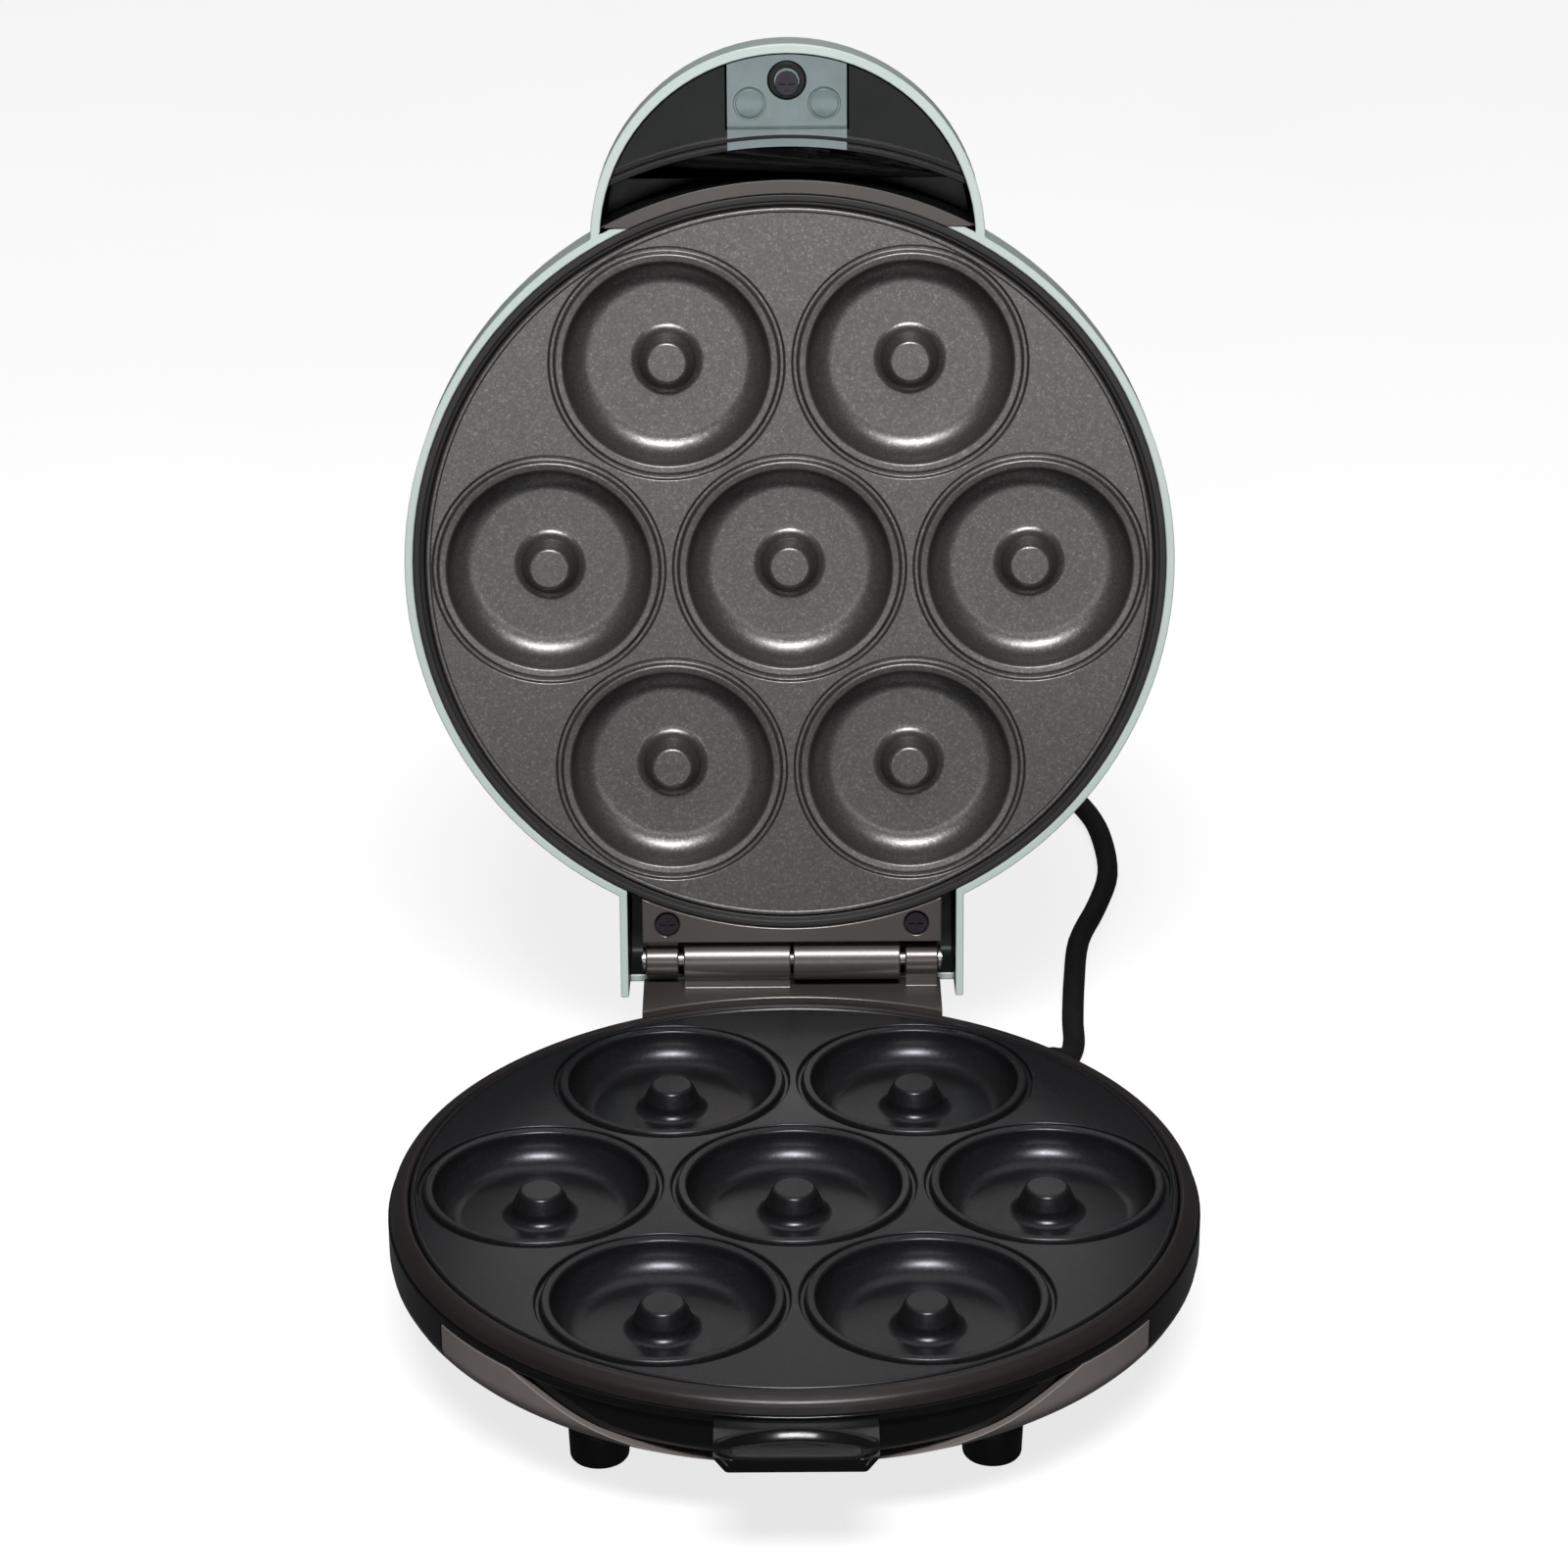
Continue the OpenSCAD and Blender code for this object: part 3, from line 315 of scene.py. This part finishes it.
def spinLine(bm, line, centre=(0, 0), steps=96):
    # turns a line of (r, z) points about a vertical axis
    verts = [bm.verts.new(((centre[0] + r) * mm, centre[1] * mm, z * mm)) for r, z in line]
    edges = [bm.edges.new(pair) for pair in zip(verts, verts[1:])]
    bmesh.ops.spin(bm, geom=verts + edges, cent=(centre[0] * mm, centre[1] * mm, 0), axis=(0, 0, 1),
        dvec=(0, 0, 0), angle=math.tau, steps=steps, use_merge=True)


def fillLevel(bm, level):
    # closes a flat level that has round holes in it
    edges = [edge for edge in bm.edges if len(edge.link_faces) == 1
        and all(abs(vert.co.z - level * mm) < 0.000005 for vert in edge.verts)]
    bmesh.ops.triangle_fill(bm, edges=edges, use_beauty=True, use_dissolve=False)


def blockBetween(bm, low, high):
    # a straight block between two corners, in millimetres
    made = bmesh.ops.create_cube(bm, size=1)["verts"]
    bmesh.ops.scale(bm, vec=[(b - a) * mm for a, b in zip(low, high)], verts=made)
    bmesh.ops.translate(bm, vec=[(b + a) / 2 * mm for a, b in zip(low, high)], verts=made)


def roundEdges(bm, edges, width, segments=3):
    bmesh.ops.bevel(bm, geom=edges, offset=width * mm, offset_type="OFFSET", segments=segments,
        profile=0.5, affect="EDGES", material=-1)


# cord

cord = {
    "thick": 6.5,
    "route": [(68, 114, 19.5), (73, 122.7, 17.6), (77, 134, 11.5), (80.5, 147, 5.6), (82.5, 160, 3.35),
        (83, 174, 3.25), (85, 200, 3.25), (88, 226, 3.25), (95, 250, 3.25), (100, 273, 3.25),
        (100, 298, 3.25), (97, 318, 3.25), (90, 335, 3.25), (76, 347, 3.25), (58, 351, 3.25),
        (38, 348, 3.25)],
    "coil": (18, 305), "outer": 38.25, "inner": 31.75, "top": 35,
    "leave": [(-17, 296, 9.4), (-17, 288, 10.5), (-17, 281, 11)],
}


def coilPoints():
    # two turns side by side on the table, then the last part in the groove on top of them
    stops = [(90, cord["outer"], 3.25), (400, cord["outer"], 3.25), (446, cord["inner"], 3.25),
        (700, cord["inner"], 3.25), (756, cord["inner"] + 0.6, 9.75), (812, cord["top"] - 0.4, 9.75),
        (840, cord["top"], 9.2), (900, cord["top"], 9.0)]
    points = []
    for (a0, r0, z0), (a1, r1, z1) in zip(stops, stops[1:]):
        count = max(2, round((a1 - a0) / 17))
        for step in range(count):
            t = step / count
            ease = t * t * (3 - 2 * t)
            angle = math.radians(a0 + (a1 - a0) * t)
            radius = r0 + (r1 - r0) * ease
            points.append((cord["coil"][0] + radius * math.cos(angle),
                cord["coil"][1] + radius * math.sin(angle), z0 + (z1 - z0) * ease))
    points.append((cord["coil"][0] - cord["top"], cord["coil"][1], 9.0))
    return points


def smoothLine(points, steps):
    # a smooth line through points
    line = []
    for index in range(len(points) - 1):
        a, b, c, d = (Vector(points[min(max(index + k, 0), len(points) - 1)]) for k in (-1, 0, 1, 2))
        for step in range(steps):
            t = step / steps
            line.append((b * 2 + (c - a) * t + (a * 2 - b * 5 + c * 4 - d) * t * t
                + (b * 3 - a - c * 3 + d) * t * t * t) * 0.5)
    return line + [Vector(points[-1])]


def makeCord():
    line = smoothLine(cord["route"] + coilPoints() + cord["leave"], 4)
    length = sum((b - a).length for a, b in zip(line, line[1:])) * mm
    data = bpy.data.curves.new("mainsCord", "CURVE")
    data.dimensions = "3D"
    data.bevel_depth = cord["thick"] / 2 * mm
    data.bevel_resolution = 5
    data.use_fill_caps = True
    spline = data.splines.new("POLY")
    spline.points.add(len(line) - 1)
    for point, place in zip(spline.points, line):
        place.z = max(place.z, cord["thick"] / 2 + 0.02)   # the smooth line dips a hair between points
        point.co = (*(inBody @ (place * mm)), 1)
    piece = bpy.data.objects.new("mainsCord", data)
    bpy.context.scene.collection.objects.link(piece)
    data.materials.append(finishes["cord_sheath"])
    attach(piece, "base")
    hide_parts("power_cord", "cord_coil")
    print("cord length", round(length, 4))
    return piece, length


cordPiece, cordLength = makeCord()


# strain relief, plug and tie

relief = {"aim": (0.49, 0.85, -0.19), "length": 36, "flange": 6.6, "root": 5.6, "tip": 4.15, "grooves": 5,
    "first": 10, "step": 4.6, "width": 1.6, "neck": 3.95, "bush": 4.5, "boss": 4}


def makeRelief():
    start, end = relief["boss"] + 0.05, relief["length"]
    slope = (relief["tip"] - relief["root"]) / (end - start)
    points = [(0, -8, 0), (relief["bush"], -8, 0.5), (relief["bush"], start, 0),
        (relief["flange"], start, 0.4), (relief["flange"], start + 2, 0.6), (relief["root"], start + 2, 0.5)]
    for index in range(relief["grooves"]):
        low = relief["first"] + relief["step"] * index
        points += [(relief["root"] + slope * (low - start), low, 0.35), (relief["neck"], low + 0.3, 0.25),
            (relief["neck"], low + relief["width"] - 0.3, 0.25),
            (relief["root"] + slope * (low + relief["width"] - start), low + relief["width"], 0.35)]
    points += [(relief["tip"], end, 0.5), (3.3, end, 0), (0, end, 0)]
    bm = bmesh.new()
    spinLine(bm, rounded(points, 3), steps=40)
    direction = Vector(relief["aim"]).normalized()
    root = Vector(cord["route"][0]) * mm - direction * relief["length"] * mm
    turn = Vector((0, 0, 1)).rotation_difference(direction).to_matrix().to_4x4()
    return finishPiece("strainReliefSleeve", bm, inBody @ Matrix.Translation(root) @ turn, "base",
        "plug_rubber", ["strain_relief"])


plug = {"centre": (-17, 243), "length": 44, "height": 22, "toe": 6, "heel": 14, "edge": 1.8}


def makePlug():
    half = plug["length"] / 2
    corners = [(half, -half, plug["toe"]), (half, half, plug["heel"]), (-half, half, plug["heel"]),
        (-half, -half, plug["toe"])]
    outline = rounded([(0, -half, 0)] + corners + [(0, -half, 0)], 8)[:-1]
    bm = bmesh.new()
    verts = [bm.verts.new((x * mm, y * mm, 0)) for x, y in outline]
    face = bm.faces.new(verts)
    made = bmesh.ops.extrude_face_region(bm, geom=[face])["geom"]
    bmesh.ops.translate(bm, vec=(0, 0, plug["height"] * mm),
        verts=[item for item in made if isinstance(item, bmesh.types.BMVert)])
    rims = [edge for edge in bm.edges if abs(edge.verts[0].co.z - edge.verts[1].co.z) < 1e-6]
    roundEdges(bm, rims, plug["edge"], 4)
    tail = bmesh.new()
    grip = [(0, 20, 0), (6, 20, 0), (6, 25, 0.6), (5.2, 26, 0.4), (5.2, 27.4, 0.4), (5.6, 28.2, 0.4),
        (4.9, 31, 0.4), (4.4, 31.6, 0.3), (4.4, 32.8, 0.3), (4.7, 33.4, 0.3), (4.05, 38, 0.6), (3.3, 38, 0),
        (0, 38, 0)]
    spinLine(tail, rounded(grip, 3), steps=32)
    tail.transform(Matrix.Translation((0, 0, plug["height"] / 2 * mm))
        @ Matrix.Rotation(math.radians(-90), 4, "X"))
    tailMesh = bpy.data.meshes.new("tail")
    tail.to_mesh(tailMesh)
    bm.from_mesh(tailMesh)
    bpy.data.meshes.remove(tailMesh)
    tail.free()
    where = inBody @ Matrix.Translation((plug["centre"][0] * mm, plug["centre"][1] * mm, 0))
    return finishPiece("plugHousing", bm, where, "base", "plug_rubber", ["plug_body"])


tie = {"x": 53, "y": 301, "wide": 8, "half": 7.6, "tall": 14.0, "thick": 0.9}


def makeTie():
    # a flat strap round the coil
    bm = bmesh.new()
    outline = rounded([(0, 0.05, 0), (tie["half"], 0.05, 3), (tie["half"], tie["tall"], 4),
        (-tie["half"], tie["tall"], 4), (-tie["half"], 0.05, 3), (0, 0.05, 0)], 6)[:-1]
    verts = [bm.verts.new(((tie["x"] + x) * mm, tie["y"] * mm, z * mm)) for x, z in outline]
    edges = [bm.edges.new((verts[i - 1], verts[i])) for i in range(len(verts))]
    made = bmesh.ops.extrude_edge_only(bm, edges=edges)["geom"]
    bmesh.ops.translate(bm, vec=(0, tie["wide"] * mm, 0),
        verts=[item for item in made if isinstance(item, bmesh.types.BMVert)])
    bmesh.ops.recalc_face_normals(bm, faces=bm.faces)
    bmesh.ops.solidify(bm, geom=bm.faces[:], thickness=tie["thick"] * mm)
    return finishPiece("coilTie", bm, inBody, "base", "black_matte_plastic", ["cord_tie"])


makeRelief()
plugPiece = makePlug()
tiePiece = makeTie()
print("cord, relief, plug and tie made")


# plates

mould = {"mouth": 27.5, "outer": 32, "nub": 6, "back": 11.3, "sheet": 2.8}
spots = [(0, 0)] + [(body["pitch"] * math.cos(math.radians(60 * k)),
    body["pitch"] * math.sin(math.radians(60 * k))) for k in range(6)]
mouldLine = rounded([(0, -2.0, 0), (mould["nub"] - 0.5, -2.0, 1.2), (mould["nub"] + 1.3, -6.0, 3),
    (mould["nub"] + 1.9, -9.25, 2.8), (mould["mouth"] - 0.3, -9.25, 7.2), (mould["mouth"], -0.45, 0.7),
    (mould["mouth"] + 2.3, -0.2, 0.6), (mould["mouth"] + 2.75, -2.1, 0.4),
    (mould["mouth"] + 3.85, -2.1, 0.4), (mould["mouth"] + 4.1, -body["land"], 0.4),
    (mould["outer"], -body["land"], 0)], 9)
underLine = [(0, -mould["back"]), (mould["mouth"] - 3, -mould["back"]), (mould["mouth"] + 2, -mould["sheet"]),
    (mould["outer"], -mould["sheet"])]


def makePlate(name, node, where, bodyName, material):
    one = bmesh.new()
    spinLine(one, mouldLine)
    spinLine(one, underLine)
    oneMesh = bpy.data.meshes.new("mould")
    one.to_mesh(oneMesh)
    one.free()
    bm = bmesh.new()
    for x, y in spots:
        before = len(bm.verts)
        bm.from_mesh(oneMesh)
        bm.verts.ensure_lookup_table()
        bmesh.ops.translate(bm, vec=(x * mm, y * mm, 0), verts=bm.verts[before:])
    bpy.data.meshes.remove(oneMesh)
    plate = body["plate"]
    rim = rounded([(plate - 1.6, -body["land"], 0), (plate - 1.3, -0.35, 0.4), (plate - 0.35, -0.3, 0.55),
        (plate, -1.2, 0.6), (plate, -6.4, 0.3), (plate - 2.8, -6.4, 0), (plate - 2.8, -mould["sheet"], 0)], 4)
    spinLine(bm, rim, steps=192)
    bmesh.ops.remove_doubles(bm, verts=bm.verts, dist=0.000004)
    fillLevel(bm, -body["land"])
    fillLevel(bm, -mould["sheet"])
    piece = finishPiece(name, bm, where, bodyName, "nonstick_coating", [node], material, 50)
    evenNormals(piece)


# the base plate takes the shaded copy of the coating
makePlate("lowerMouldPlate", "lower_plate", inBase, "base", lowerCoatingShaded)
makePlate("upperMouldPlate", "upper_plate", inLid @ Matrix.Diagonal((1, 1, -1, 1)), "lid",
    finishes["nonstick_coating"])
print("plates made")

# frames round the plates

def makeFrames():
    plate, edge = body["plate"], body["radius"]
    lower = rounded([(plate + 0.25, -6.5, 0), (plate + 0.25, -0.9, 0.5), (plate + 1.0, -0.25, 0.7),
        (edge - 3.4, -0.35, 2.6), (edge - 1.0, -2.0, 2.4), (edge - 0.55, -4.6, 0.4), (edge - 0.6, -5, 0.2),
        (edge - 4.4, -5, 0), (plate + 0.6, -5.6, 0), (plate + 0.6, -9, 0), (plate - 2, -9, 0),
        (plate - 2, -6.5, 0), (plate + 0.25, -6.5, 0)], 7)
    bm = bmesh.new()
    spinLine(bm, lower, steps=192)
    finishPiece("baseFrame", bm, inBase, "base", "brown_black_plastic", ["base_bezel"])
    outer = edge - 2.3
    upper = rounded([(plate + 0.25, 6.5, 0), (plate + 0.25, 1.5, 0.3), (plate + 0.9, 0.8, 0.3),
        (plate + 1.2, 1.3, 0.2), (plate + 1.5, 0.35, 0.35), (outer - 0.1, 0.35, 0.35), (outer, 1.2, 0.2),
        (outer, 9, 0), (plate - 2, 9, 0), (plate - 2, 6.5, 0), (plate + 0.25, 6.5, 0)], 5)
    bm = bmesh.new()
    spinLine(bm, upper, steps=192)
    finishPiece("lidFrame", bm, inLid, "lid", "lid_frame_plastic", ["lid_bezel"])


# feet

feet = {"x": 49, "front": -53, "rear": 72, "radius": 7.75, "tall": 12, "peg": 3}
footLine = rounded([(0, 0.6, 0), (5.0, 0.6, 0.3), (5.3, 0, 0.3), (feet["radius"] - 0.35, 0, 1.3),
    (feet["radius"], feet["tall"] - 3, 1), (feet["radius"] - 0.25, feet["tall"] - 2.6, 0.2),
    (feet["radius"] - 0.25, feet["tall"] - 1.9, 0.2), (feet["radius"], feet["tall"] - 1.5, 0.2),
    (feet["radius"], feet["tall"] - 0.05, 0.4), (feet["peg"], feet["tall"] - 0.05, 0.1),
    (feet["peg"], feet["tall"] + 6, 0.6), (0, feet["tall"] + 6, 0)], 4)


def makeFeet(name, node, y):
    bm = bmesh.new()
    for side in (-1, 1):
        spinLine(bm, footLine, (side * feet["x"], y), 48)
    finishPiece(name, bm, inBody, "base", "black_rubber", [node])


# front grip: a tab with an arched shelf, a dished top and tapered corners

grip = {"wide": 39, "taper": 3, "front": -120, "back": -101.75, "top": -5.8, "low": -9.8,
    "archMiddle": -107.2, "archEnds": -112.5, "cove": 2.6, "dip": 2.3, "lip": 0.9, "lipDeep": 4.5,
    "pegX": 11, "pegY": -99.8, "peg": 1.5}


def gripHeight(x, y):
    across = x / (grip["wide"] / 2)
    arch = grip["archMiddle"] + (grip["archEnds"] - grip["archMiddle"]) * across * across
    fall = min(max((arch - y) / grip["cove"], 0), 1)
    rise = min(max((grip["front"] + grip["lipDeep"] - y) / grip["lipDeep"], 0), 1)
    ease = fall * 0.7 + fall * fall * (3 - 2 * fall) * 0.3
    dish = grip["dip"] * ease * (1 - across ** 6) - (grip["dip"] - grip["lip"]) * rise ** 2 * fall
    return grip["top"] - max(dish, 0)


def makeGrip():
    bm = bmesh.new()
    wide = grip["wide"] / 2
    bmesh.ops.create_grid(bm, x_segments=64, y_segments=48, size=0.5)
    for vert in bm.verts:
        x = vert.co.x * grip["wide"]
        back = -math.sqrt(grip["back"] ** 2 - x * x)
        y = back + (grip["front"] - back) * (0.5 - vert.co.y)
        vert.co = Vector((x, y, gripHeight(x, y))) * mm
    made = bmesh.ops.extrude_face_region(bm, geom=bm.faces[:])["geom"]
    for vert in [item for item in made if isinstance(item, bmesh.types.BMVert)]:
        vert.co.z = grip["low"] * mm
        vert.co.x *= 1 - grip["taper"] / wide
    rims = [edge for edge in bm.edges if len(edge.link_faces) == 2
        and edge.calc_face_angle(0) > math.radians(55)]
    roundEdges(bm, rims, 0.35, 3)
    for side in (-1, 1):
        at = Vector((side * grip["pegX"], grip["pegY"], (grip["top"] + grip["low"]) / 2)) * mm
        bmesh.ops.create_cone(bm, cap_ends=True, segments=24, radius1=grip["peg"] * mm,
            radius2=grip["peg"] * mm, depth=5 * mm,
            matrix=Matrix.Translation(at) @ Matrix.Rotation(math.radians(90), 4, "X"))
    finishPiece("gripTab", bm, inBase, "base", "black_gloss_plastic", ["front_grip"], sharp=50)


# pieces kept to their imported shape, merged, with their edges softened

def refine(name, node, bodyName, slotName, where, width=0.3, paint=None, extra=None, sharp=32):
    bm = bmesh.new()
    bm.from_mesh(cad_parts[node].data)
    bmesh.ops.remove_doubles(bm, verts=bm.verts, dist=0.000006)
    bmesh.ops.dissolve_degenerate(bm, edges=bm.edges, dist=0.000004)
    bmesh.ops.dissolve_limit(bm, angle_limit=math.radians(0.4), verts=bm.verts, edges=bm.edges,
        use_dissolve_boundaries=False)
    piece = finishPiece(name, bm, Matrix.Identity(4), bodyName, slotName, [node], sharp=sharp)
    if paint:
        piece.data.materials.append(extra)
        back = where.inverted()
        for face in piece.data.polygons:
            face.material_index = int(paint(back @ face.center / mm))
    soft = piece.modifiers.new("soft", "BEVEL")
    soft.width = width * mm
    soft.segments = 2
    soft.limit_method = "ANGLE"
    soft.angle_limit = math.radians(sharp)
    soft.use_clamp_overlap = False
    soft.miter_outer = "MITER_ARC"
    evenNormals(piece)
    return piece


hollow = {"reach": 49.9, "inner": 103.9, "low": 0.6, "high": 19.6,
    "hingeX": 45.45, "hingeFrom": 96, "hingeTo": 120.6, "hingeHigh": 28.9}
ridges = {"front": 1.55, "sill": (0, 105.9), "inner": (113.9, 115.6), "outer": (116, 117.8)}


def paintShellShade(at):
    # painted shade: the hollow of the handle and the hinge block near the pin are painted dark green-black,
    # standing in for the shade that falls inside them
    inHandle = (math.hypot(at.x, at.y - handleY) < hollow["reach"]
        and math.hypot(at.x, at.y) > hollow["inner"] and hollow["low"] < at.z < hollow["high"])
    inHinge = (abs(at.x) < hollow["hingeX"] and hollow["hingeFrom"] < at.y < hollow["hingeTo"]
        and at.z < hollow["hingeHigh"])
    return inHandle or inHinge


def paintCover(at):
    # the two ridges and the sill by the lid's lip are brown, the rest is black
    reach = math.hypot(at.x, at.y)
    return at.z < ridges["front"] and any(ridges[name][0] <= reach < ridges[name][1]
        for name in ("sill", "inner", "outer"))


lamp = {"wide": 31.4, "near": 118.7, "low": 1.2, "up": 3.2, "screwY": 131, "hole": 1.9, "boss": 5.2,
    "windowX": 9.8, "windowY": 125.5, "window": 4.4, "reach": 49.4, "tongue": 114.3,
    "tongueLow": 0.72}


def makeLampCover():
    # a pale plate with an arched far edge, a dark collar for its screw, two ringed windows and a thin tongue
    bm = bmesh.new()
    half = lamp["wide"] / 2
    wide = math.asin(half / lamp["reach"])
    outline = [(-half, -lamp["near"]), (half, -lamp["near"])] + [
        (lamp["reach"] * math.sin(wide * (1 - step / 12)),
        handleY - lamp["reach"] * math.cos(wide * (1 - step / 12))) for step in range(25)]
    rings = [(0, -lamp["screwY"], lamp["hole"]), (-lamp["windowX"], -lamp["windowY"], lamp["window"]),
        (lamp["windowX"], -lamp["windowY"], lamp["window"])]
    loops = [outline] + [[(x + radius * math.cos(math.tau * k / 40),
        y + radius * math.sin(math.tau * k / 40)) for k in range(40)] for x, y, radius in rings]
    edges = []
    for loop in loops:
        verts = [bm.verts.new((x * mm, y * mm, lamp["low"] * mm)) for x, y in loop]
        edges += [bm.edges.new((verts[k - 1], verts[k])) for k in range(len(verts))]
    bmesh.ops.triangle_fill(bm, edges=edges, use_beauty=True, use_dissolve=False)
    made = bmesh.ops.extrude_face_region(bm, geom=bm.faces[:])["geom"]
    bmesh.ops.translate(bm, vec=(0, 0, (lamp["up"] - lamp["low"]) * mm),
        verts=[item for item in made if isinstance(item, bmesh.types.BMVert)])
    edge = lamp["window"] - 0.02
    window = rounded([(0, 1.15, 0), (edge - 0.75, 1.15, 0.2), (edge - 0.6, 1.75, 0), (edge - 0.25, 1.75, 0),
        (edge - 0.1, 1.1, 0.1), (edge, 1.1, 0), (edge, 3.2, 0), (4.3, 3.2, 0), (4.3, 9.6, 0.2),
        (2.9, 9.6, 0.2), (2.9, 2.2, 0), (0, 2.2, 0)], 3)
    for side in (-1, 1):
        spinLine(bm, window, (side * lamp["windowX"], -lamp["windowY"]), 40)
    arc = math.asin(half / lamp["tongue"])
    root = -lamp["near"] - 0.9
    tongue = [(half, root), (-half, root)] + [(-lamp["tongue"] * math.sin(arc * (1 - step / 8)),
        -lamp["tongue"] * math.cos(arc * (1 - step / 8))) for step in range(17)]
    verts = [bm.verts.new((x * mm, y * mm, lamp["tongueLow"] * mm)) for x, y in tongue]
    made = bmesh.ops.extrude_face_region(bm, geom=[bm.faces.new(verts)])["geom"]
    bmesh.ops.translate(bm, vec=(0, 0, 0.24 * mm),
        verts=[item for item in made if isinstance(item, bmesh.types.BMVert)])
    blockBetween(bm, (-half, root, lamp["tongueLow"]), (half, -lamp["near"] - 0.02, 1.3))
    plain = set(bm.faces)
    collar = rounded([(3.3, 1.19, 0), (3.3, 0.7, 0.15), (lamp["boss"] - 0.5, 0.7, 0.3),
        (lamp["boss"], 1.19, 0), (3.3, 1.19, 0)], 4)
    spinLine(bm, collar, (0, -lamp["screwY"] - 0.6), 48)
    for face in bm.faces:
        face.material_index = 0 if face in plain else 1
    piece = finishPiece("lampWindow", bm, inLid, "lid", "lamp_cover_plastic", ["lamp_cover"])
    piece.data.materials.append(finishes["black_matte_plastic"])


makeFrames()
makeLampCover()
makeFeet("frontFeet", "front_feet", feet["front"])
makeFeet("rearFeet", "rear_feet", feet["rear"])
makeGrip()
# the lid shell's handle and hinge hollows get the painted shade material
refine("lidShell", "lid_shell", "lid", "mint_white_plastic", inLid, 0.35, paintShellShade, shellPaintedShade)
refine("handleCover", "handle_inner_cover", "lid", "black_matte_plastic", inLid, 0.25, paintCover, rimBrown)
refine("baseBowl", "base_housing", "base", "black_gloss_plastic", inBody, 0.3)
# painted reflection: the pale band stands in for the floor reflected in the base's glossy black wall
refine("bandPaintedReflection", "front_trim_band", "base", "satin_trim", inBody, 0.3)
refine("bottomPanel", "bottom_cover", "base", "black_matte_plastic", inBody, 0.25)
for name, node, bodyName in (("baseBracket", "base_hinge_bracket", "base"),
        ("lidBracket", "lid_hinge_bracket", "lid")):
    refine(name, node, bodyName, "brown_black_plastic", inBody, 0.35).data.materials[0] = hingePaint
print("frames, feet, grip and housings made")

for node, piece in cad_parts.items():
    for item in piece.material_slots:
        item.material = finishes[item.material.name.split(".")[0]]
for node in ("lid_bracket_screws", "lamp_cover_screw"):
    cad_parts[node].material_slots[0].material = blackScrew
print("frame nodes finished")

# floor, light and world

floorMaterial, wire, place = startMaterial("floorPaper")
endMaterial(floorMaterial, wire, {
    "Base Color": mixColours(wire, (0.36, 0.36, 0.36, 1), (0.42, 0.42, 0.42, 1), noise(wire, place, 6, 3)),
}, {"Roughness": 0.9, "Specular IOR Level": 0.1, "Emission Color": (1, 1, 1, 1), "Emission Strength": 0.78})
floorMesh = bpy.data.meshes.new("floor")
bm = bmesh.new()
bmesh.ops.create_grid(bm, x_segments=8, y_segments=8, size=6)
bm.to_mesh(floorMesh)
bm.free()
floorMesh.materials.append(floorMaterial)
floorPiece = bpy.data.objects.new("floor", floorMesh)
bpy.context.scene.collection.objects.link(floorPiece)

world = bpy.data.worlds.new("studio")
bpy.context.scene.world = world
world.use_nodes = True
world.node_tree.nodes["Background"].inputs["Color"].default_value = (0.95, 0.97, 1, 1)
world.node_tree.nodes["Background"].inputs["Strength"].default_value = 0.07
floorPiece.visible_glossy = False
floorPiece.visible_diffuse = False


def softLight(name, place, aim, size, power):
    data = bpy.data.lights.new(name, "AREA")
    data.shape = "RECTANGLE"
    data.size, data.size_y = size
    data.energy = power
    light = bpy.data.objects.new(name, data)
    bpy.context.scene.collection.objects.link(light)
    light.matrix_world = Matrix.Translation(place) @ (Vector(aim) - Vector(place)).to_track_quat(
        "-Z", "Y").to_matrix().to_4x4()


softLight("keyLight", (0, -1.45, 1.8), (0, 0, 0.14), (0.7, 0.34), 40)
softLight("frontLight", (0, -2.2, 0.25), (0, 0, 0.12), (1.6, 0.45), 5.5)
softLight("topLight", (0, 0.7, 2.4), (0, 0.1, 0), (2.4, 1.6), 8)
print("studio made")
